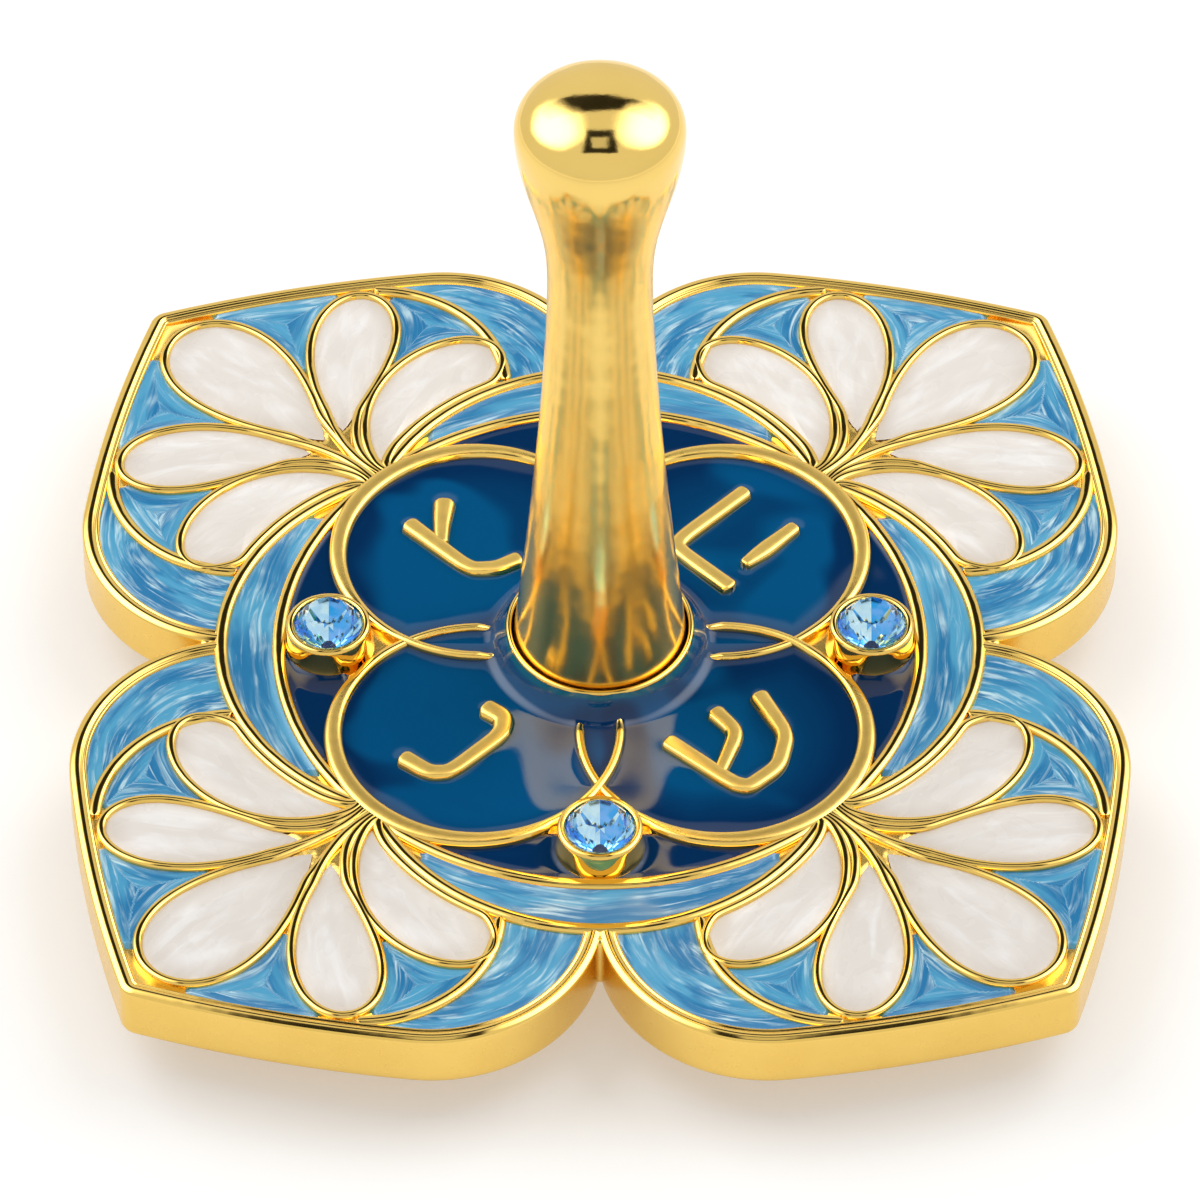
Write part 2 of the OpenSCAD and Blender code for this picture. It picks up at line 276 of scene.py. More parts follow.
def bead(path: Array, width: Values, top: Values, base: float, closed: bool = False, crown: Values = 0.13,
         edge: float = 0.23) -> Sheet:
    """A low rounded wire along a plan path.

    With s from minus one to one across the wire, its top falls by crown times s squared plus edge times
    s to the eighth, both times the width, and its skirts run straight down to the base.

    Args:
        path: plan points.
        width: width of the wire along the path.
        top: height of its crest along the path.
        base: height where its skirts end.
        closed: whether the path is a loop.
        crown: fall of the gentle arch along the path, as a share of the width.
        edge: fall of the rounded edges, as a share of the width.

    Returns:
        The sheet of the wire.
    """
    width = np.broadcast_to(np.asarray(width, float), (len(path),))
    top = np.broadcast_to(np.asarray(top, float), (len(path),))
    crown = np.broadcast_to(np.asarray(crown, float), (len(path),))
    t = tangents(path, closed)
    left = np.stack([-t[:, 1], t[:, 0]], axis=-1)
    s = np.sin(np.radians(np.linspace(-90, 90, 15)))
    drop = crown[:, None] * s[None] ** 2 + edge * s[None] ** 8
    side = np.concatenate([s[:1], s, s[-1:]])
    plan = path[:, None, :] + left[:, None, :] * (side[None, :] * width[:, None] / 2)[..., None]
    z = top[:, None] - drop * width[:, None]
    ends = np.full((len(path), 1), base)
    z = np.concatenate([ends, z, ends], axis=1)
    return Sheet(raised(plan, z), round_rows=closed)


def pen(path: Array, width: Values, blunt: float = 1.0) -> Tuple[Array, Array]:
    """A pen stroke with round ends.

    Both ends grow by half the width times blunt, where the width falls along half an ellipse.

    Args:
        path: plan points of the stroke.
        width: its width at each point.
        blunt: length of the ends, where one gives half circles.

    Returns:
        The longer path and the width along it.
    """
    width = np.broadcast_to(np.asarray(width, float), (len(path),))
    a = np.radians(np.linspace(0, 84, 7))
    first = unit(path[:1] - path[1:2])
    last = unit(path[-1:] - path[-2:-1])
    head = path[0] + first * (blunt * width[0] / 2 * np.sin(a))[::-1, None]
    tail = path[-1] + last * (blunt * width[-1] / 2 * np.sin(a))[:, None]
    full = np.concatenate([head[:-1], path, tail[1:]])
    wide = np.concatenate([width[0] * np.cos(a)[::-1][:-1], width, width[-1] * np.cos(a)[1:]])
    return full, wide


def lathe(profile: Array, segments: int, centre: Point = (0.0, 0.0)) -> Sheet:
    """A profile of radius and height turned about an upright axis.

    Args:
        profile: radius and height of each point.
        segments: number of steps round the axis.
        centre: plan place of the axis.

    Returns:
        The turned sheet.
    """
    a = np.linspace(0, 2 * np.pi, segments, endpoint=False)
    x = centre[0] + np.cos(a)[:, None] * profile[None, :, 0]
    y = centre[1] + np.sin(a)[:, None] * profile[None, :, 0]
    z = np.broadcast_to(profile[None, :, 1], x.shape)
    return Sheet(np.stack([x, y, z], axis=-1), round_rows=True)


def nearest(points: Array, paths: Sequence[Array]) -> Tuple[Array, Array]:
    """Distance from points to the nearest of some paths, and the walk along it there.

    Args:
        points: plan points in a list.
        paths: plan polylines.

    Returns:
        The distance of each point, and the arc length at its nearest place on the paths, which
        runs on from one path to the next.
    """
    starts = np.concatenate([p[:-1] for p in paths])
    steps = np.concatenate([np.diff(p, axis=0) for p in paths])
    lengths = np.linalg.norm(steps, axis=1)
    walk = np.concatenate([[0], np.cumsum(lengths)[:-1]])
    squares = np.maximum(lengths ** 2, 1e-12)
    far = np.zeros(len(points))
    along = np.zeros(len(points))
    size = 4000
    for low in range(0, len(points), size):
        block = points[low:low + size]
        away = block[:, None, :] - starts[None]
        t = np.clip((away * steps[None]).sum(-1) / squares[None], 0, 1)
        gap = np.linalg.norm(away - t[..., None] * steps[None], axis=-1)
        best = gap.argmin(axis=1)
        rows = np.arange(len(block))
        far[low:low + size] = gap[rows, best]
        along[low:low + size] = walk[best] + t[rows, best] * lengths[best]
    return far, along


def inside(points: Array, loop: Array) -> Array:
    """Which plan points lie inside a closed loop, by counting the sides crossed on the way along +X.

    Args:
        points: plan points in a list.
        loop: points of the loop, in order.

    Returns:
        True for each point that lies inside.
    """
    ahead = np.roll(loop, -1, axis=0)
    x = points[:, :1]
    y = points[:, 1:]
    spans = (loop[None, :, 1] > y) != (ahead[None, :, 1] > y)
    drop = np.where(ahead[:, 1] == loop[:, 1], 1e-9, ahead[:, 1] - loop[:, 1])
    cross = loop[None, :, 0] + (y - loop[None, :, 1]) * ((ahead[:, 0] - loop[:, 0]) / drop)[None]
    return (spans & (x < cross)).sum(axis=1) % 2 == 1


def quadratic(start: Array, bend: Array, end: Array, t: Array) -> Array:
    """Points on the quadratic curve that leaves start towards bend and comes from there to end."""
    t = np.asarray(t)[:, None]
    return (1 - t) ** 2 * start + 2 * t * (1 - t) * bend + t ** 2 * end


def mirrored_gap(points: Array, place: Point) -> Array:
    """Distance from plan points to the nearer of a place and its mirror image about the diagonal."""
    there = np.linalg.norm(points - np.array(place), axis=1)
    return np.minimum(there, np.linalg.norm(points - np.array(place[::-1]), axis=1))


def polar_grid(angles: Array, inner: Values, outer: Values, rings: int) -> Tuple[Array, Array]:
    """A plan grid with a row for each polar angle, in even steps from one radius to another.

    Args:
        angles: polar angles in radians.
        inner: radius where each row starts.
        outer: radius where each row ends.
        rings: number of points in a row.

    Returns:
        The plan points and their radii.
    """
    inner = np.broadcast_to(np.asarray(inner, float), angles.shape)
    r = inner[:, None] + (outer - inner)[:, None] * np.linspace(0, 1, rings)[None]
    return np.stack([r * np.cos(angles)[:, None], r * np.sin(angles)[:, None]], axis=-1), r


def raised(plan: Array, z: Values) -> Array:
    """A plan grid with its heights, which are given for all, for each column or for each point."""
    return np.concatenate([plan, np.broadcast_to(z, plan.shape[:2])[..., None]], axis=-1)


@dataclass(frozen=True)
class Plan:
    """Plan of the plate in millimetres, from the same values as the part's source."""

    rim_w: float = 0.95
    wire_w: float = 0.7
    fine_w: float = 0.45
    corner_r: float = 1.2
    shoulder_r: float = HALF * 0.317
    shoulder: Point = (HALF - HALF * 0.317, HALF * 0.31)
    flank_r: float = HALF * 2.67
    corner: float = HALF * 0.88
    ring_centre: float = HALF * 0.27
    ring_r: float = HALF * 0.453
    inner_ring_r: float = HALF * 0.613
    ring_reach: float = HALF * 0.325
    medallion_out: float = HALF * 0.23
    medallion_r: float = HALF * 0.268
    crystal_out: float = HALF * 0.517
    niche_reach: float = HALF * 0.297
    crescent: Point = (HALF * 0.69, HALF * 0.443)
    crescent_r: float = HALF * 0.257
    collar_in_r: float = 5.04
    collar_r: float = 5.39
    mound_w: float = 1.6
    letter_out: float = 11.14
    letter_h: float = 6.5
    stroke_w: float = 0.95

    @property
    def flank_angle(self) -> float:
        """Angle on the shoulder's circle where the flank leaves it, in degrees.

        Returns:
            The angle in degrees.
        """
        offset = self.flank_r - self.shoulder_r
        to = np.array([self.corner, self.corner]) - np.array(self.shoulder)
        reach = (self.flank_r ** 2 - offset ** 2 - to @ to) / (2 * offset)
        return math.degrees(math.atan2(to[1], to[0]) - math.acos(reach / np.linalg.norm(to)))

    @property
    def flank(self) -> Array:
        """Centre of the flank's arc.

        Returns:
            The plan place of the centre.
        """
        a = math.radians(self.flank_angle)
        way = np.array([math.cos(a), math.sin(a)])
        return np.array(self.shoulder) - (self.flank_r - self.shoulder_r) * way

    @property
    def round_out(self) -> float:
        """Where the rounded corner's centre lies on the diagonal.

        Returns:
            The distance along each axis.
        """
        total = self.flank.sum()
        rest = self.flank @ self.flank - (self.flank_r - self.corner_r) ** 2
        return (total + math.sqrt(total ** 2 - 2 * rest)) / 2

    @property
    def fan_cuts(self) -> Tuple[Optional[Point], ...]:
        """Centre of the ring arc that each petal of the fan keeps clear of, or none."""
        return (self.ring_centre, 0.0), None, None, None, (0.0, self.ring_centre)

    def lobe_edge(self, start: float) -> Tuple[Array, Array]:
        """Edge of the lobe between +X and +Y: shoulder, flank and rounded corner, and their mirror image.

        Args:
            start: angle on the shoulder's circle where the edge starts, in degrees.

        Returns:
            Points of the edge and the outward unit normal at each.
        """
        out = self.round_out
        turn = math.degrees(math.atan2(out - self.flank[1], out - self.flank[0]))
        counts = (80, 30, 7)
        a = np.radians(np.concatenate([
            np.linspace(start, self.flank_angle, counts[0], endpoint=False),
            np.linspace(self.flank_angle, turn, counts[1], endpoint=False),
            np.linspace(turn, 45, counts[2])]))
        normal = np.stack([np.cos(a), np.sin(a)], axis=-1)
        centres = np.repeat(np.array([self.shoulder, self.flank, (out, out)]), counts, axis=0)
        reach = np.repeat([self.shoulder_r, self.flank_r, self.corner_r], counts)
        edge = centres + reach[:, None] * normal
        return np.concatenate([edge, edge[-2::-1, ::-1]]), np.concatenate([normal, normal[-2::-1, ::-1]])

    def mound_share(self, away: Array) -> Array:
        """How far some distances from the centre lie from the mound's foot in to the collar, as a share."""
        return np.clip((self.collar_r + self.mound_w - away) / self.mound_w, 0, 1)

    def reach_at(self, path: Array, angles: Array) -> Array:
        """Distance from the centre to a path, which winds once round it, at some polar angles.

        Args:
            path: plan points of the path.
            angles: polar angles in radians.

        Returns:
            The distance at each angle.
        """
        polar = np.arctan2(path[:, 1], path[:, 0])
        order = np.argsort(polar)
        return np.interp(angles, polar[order], np.linalg.norm(path, axis=1)[order])

    def ring_reach_at(self, angles: Array) -> Array:
        """Distance from the centre to the ring wire's outer arc on +X, at some polar angles."""
        b = self.ring_centre * np.cos(angles)
        return b + np.sqrt(self.ring_r ** 2 - (self.ring_centre * np.sin(angles)) ** 2)

    def medallion_reach_at(self, angles: Array) -> Array:
        """Distance from the centre to the far side of the medallion between +X and +Y.

        Args:
            angles: polar angles in radians.

        Returns:
            The distance at each angle.
        """
        away = self.medallion_out * math.sqrt(2)
        b = away * np.cos(angles - np.pi / 4)
        return b + np.sqrt(np.maximum(self.medallion_r ** 2 - (away * np.sin(angles - np.pi / 4)) ** 2, 0))


@dataclass(frozen=True)
class Levels:
    """Heights above the tip's point in millimetres."""

    underside: float = 3.0
    floor: float = 6.22
    enamel: float = 6.36
    wire: float = 6.7
    collar: float = 8.0
    foot: float = 7.2
    top: float = 49.7
    mound_drop: float = 0.2

    @property
    def mound(self) -> float:
        """Height of the enamel's mound at the collar."""
        return self.collar - self.mound_drop - self.enamel


@dataclass(frozen=True)
class Petal:
    """A curved drop: its spine bends from the tip to the end, and half its width is given."""

    tip: Point
    bend: Point
    end: Point
    half_width: float

    def spine(self, t: Array) -> Array:
        """Points on the quadratic curve through tip, bend and end."""
        tip, bend, end = np.array([self.tip, self.bend, self.end])
        return quadratic(tip, bend, end, t)

    def loop(self, grow: float, count: int = 56) -> Array:
        """The drop's outline, moved out by grow.

        With s from nought to one, the spine is read at s times two minus s, and the half width grows as
        s times two minus s times one minus s, scaled to reach the given half width.

        Args:
            grow: how far the outline moves out.
            count: number of points on each side.

        Returns:
            Plan points of the loop, in order.
        """
        tip, bend, end = np.array([self.tip, self.bend, self.end])
        s = np.linspace(0, 1, count)
        t = s * (2 - s)
        way = unit((1 - t)[:, None] * (bend - tip) + t[:, None] * (end - bend))
        most = math.sqrt(1 / 3) - (1 / 3) ** 1.5
        wide = self.half_width * s * (2 - s) * (1 - s) / most
        right = np.stack([way[:, 1], -way[:, 0]], axis=-1) * wide[:, None]
        mid = self.spine(t)
        loop = np.concatenate([mid + right, (mid - right)[-2:0:-1]])
        along = tangents(loop, True)
        return loop + grow * np.stack([along[:, 1], -along[:, 0]], axis=-1)

    def swapped(self) -> "Petal":
        """The petal mirrored about the lobe's diagonal."""
        return Petal(self.tip[::-1], self.bend[::-1], self.end[::-1], self.half_width)


def petal_of(shares: Sequence[Sequence[float]], half_width: float) -> Petal:
    """A petal from shares of half the plate's width."""
    points = [tuple(HALF * v for v in p) for p in shares]
    return Petal(points[0], points[1], points[2], HALF * half_width)


SIDE_PETAL = petal_of([(0.473, 0.432), (0.66, 0.412), (0.777, 0.205)], 0.079)
NEXT_PETAL = petal_of([(0.567, 0.502), (0.75, 0.51), (0.925, 0.457)], 0.075)
MIDDLE_PETAL = petal_of([(0.54, 0.54), (0.68, 0.68), (0.822, 0.822)], 0.103)
FAN = (SIDE_PETAL, NEXT_PETAL, MIDDLE_PETAL, NEXT_PETAL.swapped(), SIDE_PETAL.swapped())

# Strokes in shares of a letter's height, with its top along +Y, and the width there in shares of the pen
STROKES: Dict[str, List[List[Triple]]] = {
    "hey": [[(-0.36, 0.44, 1.15), (0.3, 0.44, 1.0), (0.37, 0.34, 1.0), (0.37, -0.5, 1.05)],
            [(-0.25, 0.16, 0.7), (-0.25, -0.1, 1.15), (-0.25, -0.5, 0.9)]],
    "gimel": [[(-0.2, 0.5, 1.1), (0.02, 0.44, 1.0), (0.2, 0.28, 0.95), (0.2, -0.5, 1.2)],
              [(0.16, -0.12, 0.8), (0.0, -0.28, 1.0), (-0.22, -0.47, 1.35)]],
    "nun": [[(-0.15, 0.45, 1.35), (0.05, 0.48, 1.3), (0.17, 0.33, 1.05), (0.17, -0.3, 0.95),
             (0.05, -0.43, 1.05), (-0.24, -0.47, 1.2)]],
    "shin": [[(-0.42, 0.46, 1.15), (-0.36, -0.41, 1.0), (0.05, -0.43, 1.0), (0.37, -0.22, 1.0),
              (0.53, 0.28, 1.2)],
             [(0.12, 0.42, 1.15), (0.08, 0.1, 1.0), (-0.37, -0.12, 0.8)]],
}


# Finishes


class NodeBoard:
    """Builds one material's or the world's nodes."""

    def __init__(self, tree: bpy.types.NodeTree) -> None:
        """Starts from an empty tree."""
        self.tree = tree
        tree.nodes.clear()

    def add(self, kind: str, **settings: object) -> bpy.types.Node:
        """Adds a node and sets its properties.

        Args:
            kind: type name of the node.
            settings: properties and their values.

        Returns:
            The new node.
        """
        node = self.tree.nodes.new(kind)
        for key, value in settings.items():
            setattr(node, key, value)
        return node

    def link(self, source: Socket, target: Socket) -> None:
        """Joins two sockets."""
        self.tree.links.new(source, target)

    def math(self, operation: str, a: object, b: object = 0.0) -> Socket:
        """A maths node on sockets or numbers.

        Args:
            operation: name of the maths operation.
            a: first socket or number.
            b: second socket or number.

        Returns:
            The result's socket.
        """
        node = self.add("ShaderNodeMath", operation=operation)
        for socket, value in zip(node.inputs, (a, b)):
            if isinstance(value, Socket):
                self.link(value, socket)
            else:
                socket.default_value = value
        return node.outputs[0]

    def product(self, first: Socket, *others: Socket) -> Socket:
        """Some sockets multiplied together, one after the other.

        Args:
            first: the first factor.
            others: the other factors.

        Returns:
            The result's socket.
        """
        for other in others:
            first = self.math("MULTIPLY", first, other)
        return first

    def ease(self, value: Socket, low: float, high: float, start: float = 0.0,
             end: float = 1.0) -> Socket:
        """A smooth map of one range onto another.

        Args:
            value: socket of the value.
            low: value where the map starts.
            high: value where it ends.
            start: result at the low value.
            end: result at the high value.

        Returns:
            The result's socket.
        """
        node = self.add("ShaderNodeMapRange", interpolation_type="SMOOTHSTEP")
        self.link(value, node.inputs[0])
        for socket, number in zip(node.inputs[1:5], (low, high, start, end)):
            socket.default_value = number
        return node.outputs[0]

    def noise(self, vector: Socket, scale: float, detail: float = 3.0, rough: float = 0.5,
              distortion: float = 0.0) -> Socket:
        """Noise from nought to one.

        Args:
            vector: coordinates.
            scale: how often it repeats in a unit.
            detail: number of finer layers.
            rough: share that each finer layer adds.
            distortion: how far it swirls.

        Returns:
            The noise's socket.
        """
        node = self.add("ShaderNodeTexNoise")
        self.link(vector, node.inputs["Vector"])
        node.inputs["Scale"].default_value = scale
        node.inputs["Detail"].default_value = detail
        node.inputs["Roughness"].default_value = rough
        node.inputs["Distortion"].default_value = distortion
        return node.outputs[0]

    def stretched(self, vector: Socket, scale: Triple) -> Socket:
        """Coordinates scaled apart along their axes.

        Args:
            vector: coordinates.
            scale: factor along each axis.

        Returns:
            The scaled coordinates.
        """
        node = self.add("ShaderNodeMapping")
        self.link(vector, node.inputs["Vector"])
        node.inputs["Scale"].default_value = scale
        return node.outputs[0]

    def warped(self, vector: Socket, coords: Socket, scale: float,
               reach: float) -> Socket:
        """Coordinates pushed about by noise of the object's coordinates.

        Args:
            vector: coordinates to push about.
            coords: the object's coordinates.
            scale: scale of the noise.
            reach: how far it pushes.

        Returns:
            The pushed coordinates.
        """
        noise = self.add("ShaderNodeTexNoise")
        self.link(coords, noise.inputs["Vector"])
        noise.inputs["Scale"].default_value = scale
        noise.inputs["Detail"].default_value = 1.0
        node = self.add("ShaderNodeVectorMath", operation="MULTIPLY_ADD")
        self.link(noise.outputs[1], node.inputs[0])
        node.inputs[1].default_value = (reach, reach, 0.0)
        self.link(vector, node.inputs[2])
        return node.outputs[0]

    def mix(self, share: Socket, a: object, b: object) -> Socket:
        """Two colours mixed by a share.

        Args:
            share: socket of the second colour's share.
            a: first colour or its socket.
            b: second colour or its socket.

        Returns:
            The mixed colour's socket.
        """
        node = self.add("ShaderNodeMix", data_type="RGBA")
        self.link(share, node.inputs[0])
        for socket, value in zip((node.inputs[6], node.inputs[7]), (a, b)):
            if isinstance(value, Socket):
                self.link(value, socket)
            else:
                socket.default_value = (*value, 1.0)
        return node.outputs[2]

    def bump(self, height: Socket, strength: float, distance: float,
             normal: Optional[Socket] = None) -> Socket:
        """A normal bent by a height, whose full range is the distance in metres.

        Args:
            height: socket of the height.
            strength: strength of the bump.
            distance: full range of the height in metres.
            normal: normal to bend, or none.

        Returns:
            The normal's socket.
        """
        node = self.add("ShaderNodeBump")
        self.link(height, node.inputs["Height"])
        node.inputs["Strength"].default_value = strength
        node.inputs["Distance"].default_value = distance
        if normal is not None:
            self.link(normal, node.inputs["Normal"])
        return node.outputs[0]


def new_finish(name: str) -> Tuple[Material, NodeBoard, bpy.types.Node]:
    """A material with one principled shader.

    Args:
        name: name of the material.

    Returns:
        The material, its board and its shader node.
    """
    material = bpy.data.materials.new(name)
    material.use_nodes = True
    board = NodeBoard(material.node_tree)
    shader = board.add("ShaderNodeBsdfPrincipled")
    output = board.add("ShaderNodeOutputMaterial")
    board.link(shader.outputs[0], output.inputs["Surface"])
    return material, board, shader


@dataclass(frozen=True)
class GoldFinish:
    """Gold plate that is satin below one height and polished above another, with a faint hand-made wave."""

    name: str
    colour: Colour = (0.9, 0.61, 0.155)
    worn: Colour = (0.87, 0.58, 0.14)
    cloud_scale: float = 240.0
    satin: float = 0.25
    polished: float = 0.06
    satin_to: float = -1.0
    polished_from: float = -0.5
    grain: float = 0.000001
    grain_scale: Triple = (2600.0, 2600.0, 2600.0)
    wave: float = 0.00002
    wave_scale: float = 620.0

    def make(self) -> Material:
        """Colour varies softly, roughness follows the height, and two sizes of noise bend the normal.

        Returns:
            The material.
        """
        material, board, shader = new_finish(self.name)
        coords = board.add("ShaderNodeTexCoord").outputs["Object"]
        cloud = board.noise(coords, self.cloud_scale, 3)
        tone = board.mix(board.ease(cloud, 0.35, 0.7), self.colour, self.worn)
        board.link(tone, shader.inputs["Base Color"])
        shader.inputs["Metallic"].default_value = 1.0
        grain = board.noise(board.stretched(coords, self.grain_scale), 1.0, 3, 0.6)
        split = board.add("ShaderNodeSeparateXYZ")
        board.link(coords, split.inputs[0])
        rough = board.ease(split.outputs[2], self.satin_to, self.polished_from, self.satin, self.polished)
        mottle = board.ease(grain, 0.3, 0.75, 0.94, 1.07)
        board.link(board.math("MULTIPLY", rough, mottle), shader.inputs["Roughness"])
        wavy = board.bump(board.noise(coords, self.wave_scale, 1), 1.0, self.wave)
        board.link(board.bump(grain, 1.0, self.grain, wavy), shader.inputs["Normal"])
        return material


@dataclass(frozen=True)
class StreakFinish:
    """Pearly enamel laid in brush streaks that follow the wires."""

    name: str
    body: Colour = (0.085, 0.375, 0.62)
    deep: Colour = (0.02, 0.2, 0.44)
    pale: Colour = (0.6, 0.84, 0.93)
    along: float = 0.13
    across: float = 1.7

    def make(self) -> Material:
        """Noise on the walk along the nearest wire and the distance from it gives the streaks.

        Returns:
            The material.
        """
        material, board, shader = new_finish(self.name)
        coords = board.add("ShaderNodeTexCoord").outputs["Object"]
        uv = board.warped(board.add("ShaderNodeUVMap", uv_map="streak").outputs[0], coords, 230, 0.8)
        wide = board.noise(board.stretched(uv, (self.along, self.across * 0.4, 1)), 1.0, 3, 0.55, 0.5)
        fine = board.noise(board.stretched(uv, (self.along * 1.7, self.across * 1.7, 1)), 1.0, 4, 0.6, 0.8)
        cloud = board.noise(coords, 420, 2)
        base = board.mix(board.ease(wide, 0.4, 0.6), self.deep, self.body)
        light = board.math("MULTIPLY", board.ease(fine, 0.46, 0.72), board.ease(cloud, 0.36, 0.6, 0.25, 1.0))
        board.link(board.mix(light, base, self.pale), shader.inputs["Base Color"])
        board.link(board.ease(fine, 0.3, 0.8, 0.22, 0.12), shader.inputs["Roughness"])
        shader.inputs["IOR"].default_value = 1.5
        shader.inputs["Coat Weight"].default_value = 0.35
        shader.inputs["Coat Roughness"].default_value = 0.05
        board.link(board.bump(fine, 0.4, 0.00006), shader.inputs["Normal"])
        return material


@dataclass(frozen=True)
class PearlFinish:
    """White pearl enamel with soft streaks along each petal, and painted shade that greys it towards its
    edges.
    """

    name: str
    body: Colour = (0.79, 0.745, 0.695)
    # Painted shade: the grey that each petal takes towards its wires
    edge: Colour = (0.6, 0.53, 0.46)
    sheen: Colour = (0.92, 0.9, 0.88)

    def make(self) -> Material:
        """Streak noise mixes in the sheen, and the painted light value greys the edges as painted shade.

        Returns:
            The material.
        """
        material, board, shader = new_finish(self.name)
        uv = board.add("ShaderNodeUVMap", uv_map="streak").outputs[0]
        depth = board.add("ShaderNodeAttribute", attribute_name="depth").outputs["Fac"]
        wisp = board.noise(board.stretched(uv, (0.2, 0.75, 1)), 1.0, 4, 0.55, 1.0)
        cloud = board.noise(board.stretched(uv, (0.35, 0.5, 1)), 1.0, 2, 0.5, 0.6)
        base = board.mix(board.ease(wisp, 0.42, 0.72, 0.0, 0.8), self.body, self.sheen)
        # Painted shade towards the petal's edge, broken up by noise
        shade = board.math("MULTIPLY", board.ease(depth, 0.55, 1.02), board.ease(cloud, 0.25, 0.7, 0.35, 0.9))
        board.link(board.mix(shade, base, self.edge), shader.inputs["Base Color"])
        board.link(board.ease(cloud, 0.3, 0.7, 0.22, 0.34), shader.inputs["Roughness"])
        shader.inputs["IOR"].default_value = 1.48
        shader.inputs["Coat Weight"].default_value = 0.25
        shader.inputs["Coat Roughness"].default_value = 0.12
        return material


@dataclass(frozen=True)
class DeepFinish:
    """Dark glossy enamel whose tone shifts at random between blue and a deeper blue, with painted shade by
    the wires and a pale teal painted highlight.
    """

    name: str
    deep: Colour = (0.001, 0.026, 0.1)
    body: Colour = (0.001, 0.08, 0.225)
    # Painted highlight: the pale teal laid on the top of the mound round the stem
    painted_highlight: Colour = (0.003, 0.15, 0.25)

    def make(self) -> Material:
        """The piece's painted light value, with some noise, mixes the pale teal painted highlight, body and
        deep under a slightly wavy gloss.

        Returns:
            The material.
        """
        material, board, shader = new_finish(self.name)
        coords = board.add("ShaderNodeTexCoord").outputs["Object"]
        depth = board.add("ShaderNodeAttribute", attribute_name="depth").outputs["Fac"]
        cloud = board.noise(coords, 110, 0, 0.5, 1.4)
        level = board.math("ADD", depth, board.ease(cloud, 0.4, 0.64, -0.1, 0.55))
        # Deep blue where the painted light value is high, which is painted shade, mixed with random noise
        base = board.mix(board.ease(level, 0.0, 0.9), self.body, self.deep)
        # Pale teal painted highlight where the painted light value falls below nought
        base = board.mix(board.ease(depth, -0.6, -0.2, 1.0, 0.0), base, self.painted_highlight)
        board.link(base, shader.inputs["Base Color"])
        board.link(board.ease(cloud, 0.3, 0.7, 0.03, 0.06), shader.inputs["Roughness"])
        shader.inputs["IOR"].default_value = 1.41
        swell = board.noise(coords, 120, 1)
        board.link(board.bump(swell, 1.0, 0.0004), shader.inputs["Normal"])
        return material


@dataclass(frozen=True)
class StoneFinish:
    """Clear blue glass over a mirror foil, with a darker copy of the foil painted as shade on every second
    facet of the underside.
    """

    glass: Colour = (0.9, 0.98, 1.0)
    glass_drift: Colour = (0.85, 0.95, 1.0)
    foil: Colour = (0.72, 0.94, 1.0)
    foil_drift: Colour = (0.55, 0.82, 1.0)
    # Painted shade: a darker copy of the foil for every second facet of the underside
    shaded_foil: Colour = (0.04, 0.42, 0.9)
    shaded_foil_drift: Colour = (0.2, 0.5, 0.95)

    def make_glass(self) -> Material:
        """Tinted glass for the crown.

        Returns:
            The material.
        """
        material, board, shader = new_finish("crystal_glass")
        coords = board.add("ShaderNodeTexCoord").outputs["Object"]
        tint = board.ease(board.noise(coords, 900, 1), 0.3, 0.7)
        board.link(board.mix(tint, self.glass, self.glass_drift), shader.inputs["Base Color"])
        shader.inputs["Transmission Weight"].default_value = 1.0
        shader.inputs["Roughness"].default_value = 0.0
        shader.inputs["IOR"].default_value = 1.5
        return material

    def make_foil(self, name: str, pale: Colour, dark: Colour) -> Material:
        """Blue mirror for facets of the pointed underside, whose tint drifts between two colours.

        Args:
            name: name of the material.
            pale: one tint.
            dark: the other tint.

        Returns:
            The material.
        """
        material, board, shader = new_finish(name)
        coords = board.add("ShaderNodeTexCoord").outputs["Object"]
        tint = board.ease(board.noise(coords, 1400, 1), 0.35, 0.65)
        board.link(board.mix(tint, pale, dark), shader.inputs["Base Color"])
        shader.inputs["Metallic"].default_value = 1.0
        shader.inputs["Roughness"].default_value = 0.1
        return material


# Pieces


